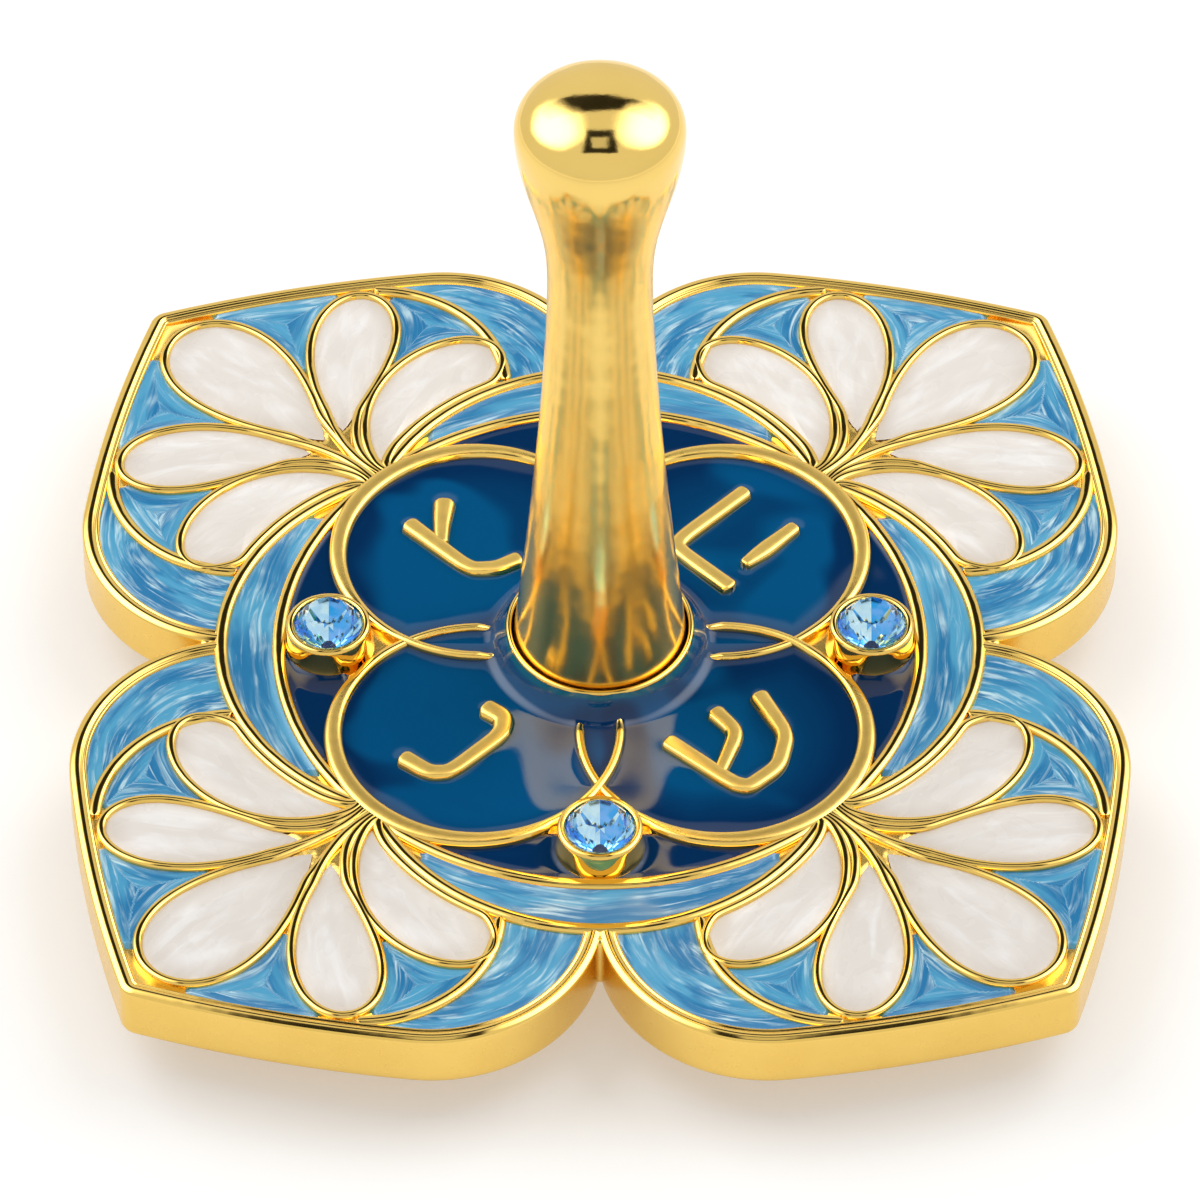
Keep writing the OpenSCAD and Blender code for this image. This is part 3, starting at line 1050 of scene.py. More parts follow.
@dataclass
class PlateWork:
    """The gold plate: its rim and walls, underside and floor, and the wires on it.

    Profiles are pairs of a distance and a height. foot_web and corner_web are a circle's place along both
    axes and its radius, end_web is a circle's place and radius, and band_web is half an angle in degrees, its
    fade for each degree and the reach. corner_tilt is where the lean starts, where it is level and its slope.
    web_climb is how high the webs climb at a wire and how soon that falls off.
    """

    plan: Plan
    levels: Levels
    rim_start: float = -83.3
    rim_foot: float = 0.5
    rim_lap: float = 0.4
    rim_edge: float = 0.22
    rim_edge_level: float = 6.4
    wall_lift: float = 0.3
    wall_top: float = 6.34
    rim_crest: Tuple[Point, ...] = (
        (0.26, 6.655), (0.34, 6.677), (0.44, 6.684), (0.54, 6.679), (0.63, 6.655), (0.7, 6.605), (0.75, 6.56),
        (0.79, 6.57), (0.84, 6.61), (0.9, 6.622), (0.96, 6.59), (1.0, 6.52), (1.03, 6.4), (1.03, 6.15))
    underside_in: float = 0.66
    floor_in: float = 0.5
    tip_hole_r: float = 3.5
    tip_seat: float = 4.0
    stud_hole_r: float = 1.6
    column_out: float = 22.5
    column_foot: Tuple[Point, ...] = ((0.0, 3.25), (0.3, 3.25), (0.42, 3.45), (0.42, 4.5), (0.42, 5.6))
    column_cap: Point = (6.35, 0.25)
    fan: Point = (12.88, 12.88)
    fan_w: float = 0.42
    fan_bend: float = 0.45
    fan_reach: Point = (0.5, 7.0)
    fan_lift: float = 0.05
    fan_swell: float = 0.16
    strand_gap: float = 0.13
    strand_step: float = 0.013
    ring_clear: float = 0.52
    crescent_stop: float = 0.75
    wire_grow: float = 0.1
    wide_grow: float = 0.12
    wire_step: float = 0.02
    wire_depth: float = 0.2
    foot_web: Point = (13.89, 8.91)
    corner_web: Point = (26.4, 3.75)
    end_web: Triple = (28.41, 14.01, 1.8)
    band_web: Triple = (12.0, 0.15, 19.4)
    web_edge: float = 0.8
    web_rise: float = 0.2
    web_climb: Point = (0.07, 0.5)
    bed_rise: float = 0.17
    bed_grow: float = 0.3
    corner_tilt: Triple = (34.0, 36.8, 0.14)
    lens_wire_w: float = 0.52
    medallion_wire_w: float = 0.66
    medallion_lift: float = 0.08
    crossing_lift: float = 0.07
    medallion_crown: float = 0.16
    medallion_edge: float = 0.2
    lens_fade: Point = (-0.6, 1.6)
    sink_reach: Point = (7.2, 5.55)
    sink_depth: float = 0.5
    sink_slim: float = 0.4
    collar_depth: float = 0.4
    band_half_angle: float = 75.0
    band_flat: float = 0.12
    band_grow: float = 0.5
    band_lift: float = 0.06

    def rim_profile(self) -> Array:
        """Distance in from the edge and height: rounded foot, upright wall, arched top and inner bead.

        Returns:
            Points of the profile, from the underside over the top to the floor.
        """
        low = self.levels.underside + self.rim_foot
        turn = np.radians(np.linspace(0, 90, 7))
        foot = np.stack([self.rim_foot * (1 - np.sin(turn)), low - self.rim_foot * np.cos(turn)], axis=-1)
        wall = np.stack([np.zeros(6), np.linspace(low + self.wall_lift, self.wall_top, 6)], axis=-1)
        turn = np.radians(np.linspace(12, 78, 6))
        edge = self.rim_edge * np.stack([1 - np.cos(turn), np.sin(turn)], axis=-1) + [0, self.rim_edge_level]
        return np.concatenate([[(self.plan.rim_w, low - self.rim_lap)], foot, wall, edge, self.rim_crest])

    def rim(self) -> Sheet:
        """The rim's profile carried round one lobe.

        Returns:
            The sheet of one lobe's rim.
        """
        edge, normal = self.plan.lobe_edge(self.rim_start)
        profile = self.rim_profile()
        plan = edge[:, None, :] - normal[:, None, :] * profile[None, :, :1]
        return Sheet(raised(plan, profile[:, 1]))

    def web(self, flat: Array) -> Array:
        """How far inside the gold webs a point of the first quarter lies, where wires run together.

        The webs are the foot of the fan outside the ring wire, the lobe's corner, the ends of the outer
        petals at the rim, and a band outside the medallion near the diagonal.

        Args:
            flat: plan points in a list.

        Returns:
            How far inside the webs each point lies, which is negative outside them.
        """
        p = self.plan
        foot_at, foot_r = self.foot_web
        corner_at, corner_r = self.corner_web
        half_angle, fade, band_reach = self.band_web
        foot = np.minimum(foot_r - np.linalg.norm(flat - foot_at, axis=1),
                          mirrored_gap(flat, (p.ring_centre, 0.0)) - p.ring_r)
        corner = corner_r - np.linalg.norm(flat - corner_at, axis=1)
        ends = self.end_web[2] - mirrored_gap(flat, self.end_web[:2])
        lean = np.abs(np.degrees(np.arctan2(flat[:, 1], flat[:, 0])) - 45)
        beyond = np.linalg.norm(flat - p.medallion_out, axis=1) - p.medallion_r
        band = np.min([beyond, (half_angle - lean) * fade, band_reach - np.linalg.norm(flat, axis=1)], axis=0)
        return np.max([foot, corner, ends, band], axis=0)

    def edge_reach(self, angles: Array) -> Array:
        """Distance from the centre to the plate's edge for polar angles in the first quarter.

        Args:
            angles: polar angles in radians.

        Returns:
            The distance at each angle.
        """
        notch = -math.degrees(math.asin(self.plan.shoulder[1] / self.plan.shoulder_r))
        edge, _ = self.plan.lobe_edge(notch)
        return self.plan.reach_at(edge, angles)

    def underside(self) -> Sheet:
        """The flat underside of a quarter, from the tip's hole to the rim, in polar steps.

        Returns:
            The sheet of a quarter.
        """
        angles = np.radians(np.linspace(0, 90, 91))
        plan, _ = polar_grid(angles, self.tip_hole_r, self.edge_reach(angles) - self.underside_in, 8)
        return Sheet(raised(plan, self.levels.underside))

    def floor(self) -> Sheet:
        """The gold floor under the enamel of a quarter, in polar steps.

        In the webs it rises, near each wire it climbs by a falling exponential of the distance, and in the
        lobe's corner it leans up towards the rim. Under the petals it stays lower.

        Returns:
            The sheet of a quarter.
        """
        angles = np.radians(np.linspace(0, 90, 241))
        plan, r = polar_grid(angles, self.plan.collar_in_r, self.edge_reach(angles) - self.floor_in, 170)
        flat = plan.reshape(-1, 2)
        far, _ = nearest(flat, self.wire_paths())
        away = np.linalg.norm(flat, axis=1)
        start, level, slope = self.corner_tilt
        tilt = np.where(away > start, slope * (away - level), 0)
        climb = self.web_climb[0] * np.exp(-far / self.web_climb[1])
        rise = smoothstep(0, self.web_edge, self.web(flat)) * (self.web_rise + climb + tilt)
        loops = [petal.loop(self.bed_grow, 40) for petal in FAN]
        held = np.any([inside(flat, loop) for loop in loops], axis=0)
        rise = np.where(held, np.minimum(rise, self.bed_rise), rise)
        return Sheet(raised(plan, self.levels.floor + rise.reshape(r.shape)), flip=True)

    def crescent_path(self) -> Array:
        """Centre line of the wire between the shoulder crescent and the petals, from the ring to the rim.

        Returns:
            Plan points of the line.
        """
        p = self.plan
        turn = arc(p.crescent, p.crescent_r, -140, 100, 400)
        ring_gap = np.linalg.norm(turn - [p.ring_centre, 0], axis=1) - p.ring_r
        rim_gap = p.shoulder_r - np.linalg.norm(turn - np.array(p.shoulder), axis=1)
        return turn[np.minimum(ring_gap, rim_gap) > self.crescent_stop]

    def ring_path(self) -> Array:
        """Centre line of the ring wire's outer arc on +X, from one diagonal to the other.

        Returns:
            Plan points of the line.
        """
        a = np.radians(np.linspace(-45, 45, 141))
        r = self.plan.ring_reach_at(a)
        return np.stack([r * np.cos(a), r * np.sin(a)], axis=-1)

    def wire_paths(self) -> List[Array]:
        """Plan lines of a lobe's wires: rim, crescents, ring arcs and petals.

        Returns:
            A list of plan lines.
        """
        p = self.plan
        edge, normal = p.lobe_edge(self.rim_start)
        crescent = resampled(self.crescent_path(), 0.3)
        ring = self.ring_path()
        ring = ring[len(ring) // 2:]
        paths = [edge - normal * p.rim_w, crescent, crescent[:, ::-1], ring, ring[:, ::-1]]
        for petal in FAN:
            loop = petal.loop(p.fine_w / 2, 40)
            paths.append(np.concatenate([loop, loop[:1]]))
        return paths

    def clear_of_ring(self, loop: Array, cut: Optional[Point], gap: float) -> Array:
        """A loop whose points inside the ring wire move out to a gap beyond its centre line.

        Args:
            loop: plan points of the loop.
            cut: centre of the ring arc, or none to leave the loop as it is.
            gap: distance beyond the ring wire's centre line.

        Returns:
            The moved loop.
        """
        if cut is None:
            return loop
        away = loop - np.array(cut)
        reach = np.linalg.norm(away, axis=1, keepdims=True)
        return np.array(cut) + away * np.maximum(1, (self.plan.ring_r + gap) / reach)

    def petal_wire(self, petal: Petal, cut: Optional[Point], place: int) -> Sheet:
        """The wire round a petal, which starts and ends at the foot of the fan.

        Both of its sides leave the foot on a quadratic curve that meets the petal's outline near its tip,
        and they are wider at the foot, where they run together.

        Args:
            petal: the petal.
            cut: centre of the ring arc that the wire keeps clear of.
            place: number of the petal in the fan, where nought is the middle.

        Returns:
            The sheet of the wire.
        """
        loop = self.clear_of_ring(petal.loop(self.plan.fine_w / 2), cut, self.ring_clear)
        tip = np.array(petal.tip)
        ahead = unit(np.array(petal.bend) - tip)
        side = self.strand_gap * np.array([ahead[1], -ahead[0]])
        bend = tip - ahead * np.linalg.norm(tip - self.fan) * self.fan_bend
        spread = self.fan_w * place * np.array([1, -1]) / math.sqrt(2)
        t = np.linspace(0, 1, 14)[:-1]
        skip = 4
        tails = []
        for end, shift in ((loop[skip], side), (loop[-skip], -side)):
            foot = np.array(self.fan) + spread + shift
            tails.append(quadratic(foot, bend + shift, end, t))
        path = np.concatenate([tails[0], loop[skip:-skip + 1], tails[1][::-1]])
        path = eased(resampled(path, 0.17), 6)
        near = 1 - smoothstep(*self.fan_reach, np.linalg.norm(path - self.fan, axis=1))
        width = self.plan.fine_w + self.wide_grow + self.fan_swell * near
        top = self.levels.wire + self.strand_step * (place % 3) + self.fan_lift * near
        return bead(path, width, top, self.levels.floor - self.wire_depth)

    def medallion_wire(self) -> Sheet:
        """The wire round the medallion between +X and +Y.

        It is a circle that widens into a flat band away from the stem, by the root of a cosine. It is slim
        inside the next medallions, where one crossing lies over and the other under, and near the stem it
        climbs the enamel's mound and sinks into it.

        Returns:
            The sheet of the wire.
        """
        p = self.plan
        turn = np.linspace(0, 360, 321)[:-1]
        off = np.minimum(np.abs(turn - 45), 405 - turn)
        broad = np.sqrt(np.cos(np.radians(90 * np.clip(off / self.band_half_angle, 0, 1))))
        circle = arc((0, 0), 1.0, 0, 360, 321)[:-1] * (p.medallion_r + broad * self.band_grow / 2)[:, None]
        circle = circle + p.medallion_out
        beyond = mirrored_gap(circle, (p.medallion_out, -p.medallion_out)) - p.medallion_r
        slim = smoothstep(*self.lens_fade, beyond)
        over = self.crossing_lift * np.sin(np.radians(turn - 45))
        away = np.linalg.norm(circle, axis=1)
        sink = smoothstep(*self.sink_reach, away)
        mound = self.levels.mound * p.mound_share(away) ** 3 - self.sink_depth * sink
        mound = np.where(away < p.collar_r, -self.collar_depth, mound)
        width = self.lens_wire_w + slim * (self.medallion_wire_w - self.lens_wire_w)
        width = width * (1 - self.sink_slim * sink) + self.band_grow * broad
        crest = self.levels.wire + self.medallion_lift + over * (1 - slim) + mound + self.band_lift * broad
        crown = self.medallion_crown - self.band_flat * broad
        base = self.levels.floor - self.wire_depth
        wire = bead(circle, width, crest, base, True, crown, self.medallion_edge)
        wire.finish = 1
        return wire

    def wires(self) -> List[Sheet]:
        """All wires of one quarter, for the lobe between +X and +Y and the side on +X.

        Returns:
            A sheet for each wire.
        """
        p = self.plan
        top = self.levels.wire
        base = self.levels.floor - self.wire_depth
        full, wide = pen(resampled(self.crescent_path(), 0.25), p.wire_w + self.wire_grow)
        inner = arc((0, 0), p.inner_ring_r, 0, 90, 121)
        sheets = [bead(full, wide, top, base),
                  bead(full[::-1, ::-1], wide[::-1], top, base),
                  bead(self.ring_path(), p.wire_w + self.wide_grow, top + self.wire_step, base),
                  bead(inner, p.wire_w + self.wire_grow, top - self.wire_step, base),
                  self.medallion_wire()]
        for i, (petal, cut) in enumerate(zip(FAN, p.fan_cuts)):
            sheets.append(self.petal_wire(petal, cut, len(FAN) // 2 - i))
        return sheets

    def notch_column(self) -> Sheet:
        """The small round column where two lobes' walls meet on +X, with a low domed cap.

        Returns:
            The sheet of the column.
        """
        a = np.radians(np.linspace(0, 90, 7))
        level, height = self.column_cap
        cap = np.stack([self.column_foot[-1][0] * np.cos(a), level + height * np.sin(a)], axis=-1)
        cap[-1, 0] = 0.0
        return lathe(np.concatenate([self.column_foot, cap]), 32, (self.column_out, 0.0))

    def collar(self) -> Sheet:
        """The thin ring round the stem's foot, with a rounded lip, and the hole below it.

        Returns:
            The sheet of the ring.
        """
        p = self.plan
        foot = self.levels.foot
        mid = (p.collar_in_r + p.collar_r) / 2
        half = (p.collar_r - p.collar_in_r) / 2
        lip = arc((mid, self.levels.collar - half), half, 0, 180, 9)
        hole = [(p.collar_in_r, foot), (self.stud_hole_r, foot), (self.stud_hole_r, self.tip_seat),
                (self.tip_hole_r, self.tip_seat), (self.tip_hole_r, self.levels.underside)]
        outside = [(p.collar_r, self.levels.floor), (p.collar_r, foot)]
        return lathe(np.concatenate([outside, lip, hole]), 128)

    def build(self, gold: Material, wire_gold: Material,
              band_gold: Material) -> None:
        """Makes the plate's body and its wires.

        Args:
            gold: finish of the body.
            wire_gold: finish of the round wires.
            band_gold: finish of the wires round the medallions.
        """
        body: List[Sheet] = [self.collar()]
        quarter_body = [self.rim(), self.underside(), self.notch_column()]
        for q in range(len(LOBES)):
            body += [sheet.turned(q) for sheet in quarter_body]
        make_piece("plate_body", body, [gold], ["plate"])
        floor = self.floor()
        wires = self.wires()
        for q, lobe in enumerate(LOBES):
            make_piece("plate_floor_" + lobe, [floor.turned(q)], [gold], [])
            lobe_wires = [wire.turned(q) for wire in wires]
            make_piece("plate_wires_" + lobe, lobe_wires, [wire_gold, band_gold], [])


@dataclass
class LetterWork:
    """The raised letters, one in each medallion."""

    plan: Plan
    levels: Levels
    corner_share: float = 0.14
    trim_share: float = 0.3
    stroke_grow: float = 0.1
    blunt: float = 0.55
    rise: float = 0.12
    stroke_step: float = 0.015
    end_fall: float = 0.16

    def paths(self, quarter: int) -> List[Tuple[Array, Array]]:
        """Centre lines and widths of one letter's strokes on the plate, with its top towards the stem.

        Args:
            quarter: number of the letter's quarter.

        Returns:
            A centre line and its widths for each stroke.
        """
        p = self.plan
        a = math.radians(90 * quarter + 135)
        spin = np.array([[math.cos(a), math.sin(a)], [-math.sin(a), math.cos(a)]])
        place = p.letter_out * np.array([math.cos(a - math.pi / 2), math.sin(a - math.pi / 2)])
        trim = p.stroke_w / 2 * self.trim_share
        lines = []
        for stroke in STROKES[LETTERS[quarter]]:
            line = rounded(np.array(stroke), 2, self.corner_share) * [p.letter_h, p.letter_h, 1]
            line = eased(resampled(line, 0.1), 6)
            walk = np.linalg.norm(np.diff(line[:, :2], axis=0), axis=1).cumsum()
            line = line[1:][(walk > trim) & (walk < walk[-1] - trim)]
            lines.append((line[:, :2] @ spin + place, line[:, 2] * (p.stroke_w + self.stroke_grow)))
        return lines

    def build(self, gold: Material) -> None:
        """Makes the four letters as flat-topped strokes with rounded edges and ends.

        Args:
            gold: finish of the letters.
        """
        for q, name in enumerate(LETTERS):
            sheets = []
            for i, (line, thick) in enumerate(self.paths(q)):
                path, wide = pen(line, thick, self.blunt)
                ends = (len(path) - len(line)) // 2
                share = wide / np.concatenate([thick[:1].repeat(ends), thick, thick[-1:].repeat(ends)])
                top = self.levels.wire + self.rise - self.stroke_step * i - self.end_fall * (1 - share) ** 2
                sheets.append(bead(path, wide, top, self.levels.floor, crown=0.03, edge=0.28))
            make_piece("raised_letter_" + name, sheets, [gold], ["letter_" + name])


@dataclass
class EnamelWork:
    """All the enamel fills.

    A climb is how high the enamel stands at a wire and the distance over which that falls off, and a dip is
    how fast and how far a fill goes down under the gold beyond its cell. Petals shift their streaks by
    petal_shift from one to the next, and so do the other streaked fills.
    """

    plan: Plan
    levels: Levels
    plate: PlateWork
    letters: LetterWork
    petal_grow: float = 0.12
    petal_clear: float = 0.6
    petal_middle: float = 0.6
    petal_aside: float = 0.25
    petal_edge: float = 0.09
    petal_dome: float = 0.27
    petal_shift: float = 19.1
    lobe_in: float = 0.55
    lobe_dip: Point = (0.8, 0.45)
    lobe_shift: float = 17.3
    mirror_shift: float = 45.0
    ring_dip: Point = (0.7, 0.4)
    ring_walk: float = 16.0
    ring_across: float = 0.8
    ring_shift: Point = (90.0, 23.7)
    streak_climb: Point = (0.12, 0.4)
    cup_r: float = 2.51
    niche_drop: float = 0.02
    niche_climb: Point = (0.12, 0.25)
    niche_dip: Point = (0.7, 0.45)
    niche_back: float = 0.9
    wall_half: float = 0.3
    wall_climb: Point = (0.13, 0.75)
    letter_climb: Point = (0.06, 0.4)

    def petal_sheet(self, petal: Petal, cut: Optional[Point]) -> Sheet:
        """A domed petal: a fan of its outline about a point in its wide half, crowned in the middle.

        Its streak coordinates run along and across the line from its tip to its end.

        Args:
            petal: the petal.
            cut: centre of the ring arc that it keeps clear of, or none.

        Returns:
            The sheet of the petal.
        """
        loop = self.plate.clear_of_ring(petal.loop(self.petal_grow, 64), cut, self.petal_clear)
        centre = petal.spine(np.array([self.petal_middle]))[0]
        if cut is not None:
            centre = centre + self.petal_aside * unit(centre - np.array(cut))
        share = np.sin(np.linspace(0, 1, 17) * np.pi / 2)
        plan = centre + (loop - centre)[:, None, :] * share[None, :, None]
        z = self.levels.enamel + self.petal_edge + self.petal_dome * (1 - share ** 2.6)
        tip = np.array(petal.tip)
        way = unit(np.array(petal.end) - tip)
        off = plan - tip
        uv = np.stack([off @ way, off @ np.array([-way[1], way[0]])], axis=-1)
        # Painted light value: nought in the middle, one at the edge, where painted shade greys the petal
        depth = np.broadcast_to(share[None], plan.shape[:2])
        return Sheet(raised(plan, z), round_rows=True, flip=True, uv=uv, depth=depth)

    def build_petals(self, pearl: Material) -> None:
        """Makes five petals for each lobe.

        Args:
            pearl: finish of the petals.
        """
        order = (0, 1, 2, 4, 3)
        sheets = [self.petal_sheet(FAN[i], self.plan.fan_cuts[i]) for i in order]
        for q, lobe in enumerate(LOBES):
            name = "petal_enamel_" + lobe
            parts = [sheet.turned(q) for sheet in sheets]
            for i, part in enumerate(parts):
                part.uv = part.uv + np.array([self.petal_shift * (len(FAN) * q + i), 0.0])
            make_piece("domed_" + name, parts, [pearl], [name])

    def lobe_sheet(self) -> Tuple[Sheet, Array, Array]:
        """The light-blue sheet of a lobe from the ring to the rim.

        It is a polar grid. It dips under the gold floor where the wires run together, climbs a little
        at the wires, and its streak coordinates are the walk along the nearest wire and the distance.

        Returns:
            The sheet, where it is shoulder crescent, and the streak coordinates of the shoulders, which
            are the walk round the shoulder's circle and the distance from its centre.
        """
        p = self.plan
        angles = np.radians(np.linspace(0.6, 89.4, 460))
        inner = np.where(angles < np.pi / 4, p.ring_reach_at(angles), p.ring_reach_at(np.pi / 2 - angles))
        plan, r = polar_grid(angles, inner, self.plate.edge_reach(angles) - self.lobe_in, 150)
        flat = plan.reshape(-1, 2)
        far, walk = nearest(flat, self.plate.wire_paths())
        slope, most = self.lobe_dip
        climb, fall = self.streak_climb
        z = self.levels.enamel + climb * np.exp(-far / fall) - np.clip(self.plate.web(flat) * slope, 0, most)
        uv = np.stack([walk, far], axis=-1).reshape(plan.shape)
        shoulder = np.zeros(len(flat), bool)
        for turn in (1, -1):
            at = flat[:, ::turn]
            near = np.linalg.norm(at - np.array(p.shoulder), axis=1) < p.shoulder_r
            outside = np.linalg.norm(at - np.array(p.crescent), axis=1) > p.crescent_r
            shoulder |= near & outside
        upper = flat[:, 1] > flat[:, 0]
        away = np.where(upper[:, None], flat[:, ::-1], flat) - np.array(p.shoulder)
        round_walk = np.arctan2(away[:, 1], away[:, 0]) * p.shoulder_r + np.where(upper, self.mirror_shift, 0)
        round_uv = np.stack([round_walk, np.linalg.norm(away, axis=1)], axis=-1).reshape(plan.shape)
        sheet = Sheet(raised(plan, z.reshape(r.shape)), flip=True, uv=uv)
        return sheet, shoulder.reshape(r.shape), round_uv

    def build_lobes(self, blue: Material) -> None:
        """Makes the spandrels and shoulder crescents of each lobe.

        Args:
            blue: finish of the streaked enamel.
        """
        sheet, shoulder, round_uv = self.lobe_sheet()
        kinds = (("spandrel_enamel_", ~shoulder, sheet.uv), ("shoulder_enamel_", shoulder, round_uv))
        for q, lobe in enumerate(LOBES):
            for kind, keep, uv in kinds:
                part = sheet.turned(q)
                part.keep = keep
                part.uv = uv + np.array([self.lobe_shift * q, 0.0])
                make_piece("streaked_" + kind + lobe, [part], [blue], [kind + lobe])

    def build_rings(self, blue: Material) -> None:
        """Makes the light-blue crescents between the ring's outer arcs and its inner wire.

        Each is a polar grid that climbs at both wires and dips at its ends. Its streak coordinates are the
        angle and the way out.

        Args:
            blue: finish of the streaked enamel.
        """
        p = self.plan
        angles = np.radians(np.linspace(-44, 44, 221))
        outer = p.ring_reach_at(angles)
        plan, r = polar_grid(angles, p.inner_ring_r, outer, 30)
        far = np.minimum(r - p.inner_ring_r, outer[:, None] - r) - p.wire_w / 2
        slope, most = self.ring_dip
        climb, fall = self.streak_climb
        z = self.levels.enamel + climb * np.exp(-np.maximum(far, 0) / fall)
        z = z - np.clip((np.abs(plan[..., 1]) - p.ring_reach) * slope, 0, most)
        walk = angles[:, None] * self.ring_walk + np.zeros_like(r)
        uv = np.stack([walk, (r - p.inner_ring_r) * self.ring_across], axis=-1)
        sheet = Sheet(raised(plan, z), flip=True)
        start, step = self.ring_shift
        for q, side in enumerate(SIDES):
            name = "ring_enamel_" + side
            part = sheet.turned(q)
            part.uv = uv + np.array([step * q + start, 0.0])
            make_piece("streaked_" + name, [part], [blue], [name])

    def build_niches(self, dark: Material) -> None:
        """Makes the dark corners beside each crystal cup, between the medallions and the inner ring wire.

        Each is a polar grid that climbs at the wires and the cup, and dips beyond its cell. Its tint is
        darkest, as painted shade, next to the wires and the cup.

        Args:
            dark: finish of the dark enamel.
        """
        p = self.plan
        angles = np.radians(np.linspace(-34, 34, 161))
        inner = p.medallion_reach_at(np.abs(angles))
        plan, r = polar_grid(angles, inner, p.inner_ring_r, 40)
        cup = np.linalg.norm(plan - [p.crystal_out, 0], axis=-1) - self.cup_r
        far = np.minimum(np.minimum(p.inner_ring_r - r, r - inner[:, None]) - p.wire_w / 2, cup)
        far = np.maximum(far, 0)
        slope, most = self.niche_dip
        climb, fall = self.niche_climb
        back = p.crystal_out - self.niche_back
        beyond = np.maximum(np.abs(plan[..., 1]) - p.niche_reach, back - plan[..., 0])
        z = self.levels.enamel - self.niche_drop + climb * np.exp(-far / fall)
        z = z - np.clip(beyond * slope, 0, most)
        # Painted shade: the painted light value is one next to the wires and the cup, falling away from them
        sheet = Sheet(raised(plan, z), flip=True, depth=1.0 - 0.3 * smoothstep(0.4, 1.6, far))
        for q, side in enumerate(SIDES):
            name = "niche_enamel_" + side
            make_piece("deep_" + name, [sheet.turned(q)], [dark], [name])

    def build_centre(self, dark: Material) -> None:
        """Makes the dark enamel of the medallions and lens cells, with the mound that climbs the collar.

        It is a polar grid from the collar to the medallions' far sides. The mound rises with the cube of
        the way in, and the enamel climbs a little at wires and letters. The painted light value that tints it
        is large at the wires, as painted shade, small at the letters, as a painted highlight round them, and
        below nought at the top of the mound, as a pale teal painted highlight there.

        Args:
            dark: finish of the dark enamel.
        """
        p = self.plan
        angles = np.radians(np.linspace(0, 90, 190))
        plan, r = polar_grid(angles, p.collar_r, p.medallion_reach_at(angles), 125)
        flat = plan.reshape(-1, 2)
        centres = p.medallion_out * np.array([(1, 1), (1, -1), (-1, 1)])
        gaps = np.linalg.norm(flat[:, None] - centres[None], axis=-1) - p.medallion_r
        wall = np.maximum(np.abs(gaps).min(axis=1) - self.wall_half, 0)
        climb = p.mound_share(np.linalg.norm(flat, axis=1))
        wall_top, wall_fall = self.wall_climb
        letter_top, letter_fall = self.letter_climb
        bed = self.levels.enamel + wall_top * np.exp(-wall / wall_fall) + self.levels.mound * climb ** 3
        sheets = []
        for q in range(len(LETTERS)):
            lines = [quarter_turn(line, -q) for line, _ in self.letters.paths(q)]
            far, _ = nearest(flat, lines)
            far = np.maximum(far - p.stroke_w / 2, 0)
            z = bed + letter_top * np.exp(-far / letter_fall)
            # Painted shade next to the medallion walls, less a painted highlight round the letters
            depth = 0.75 * np.exp(-wall / 0.9) - 0.25 * np.exp(-far / 0.5)
            # Darker partway up the mound, and the pale teal painted highlight at its top
            depth = depth * (1 - climb ** 2) + 0.4 * climb * (1 - climb) - climb ** 9
            sheet = Sheet(raised(plan, z.reshape(r.shape)), flip=True, depth=depth.reshape(r.shape))
            sheets.append(sheet.turned(q))
        nodes = ["collar_enamel"]
        nodes += ["medallion_enamel_" + lobe for lobe in LOBES]
        nodes += ["lens_enamel_" + side for side in SIDES]
        make_piece("deep_centre_enamel", sheets, [dark], nodes)


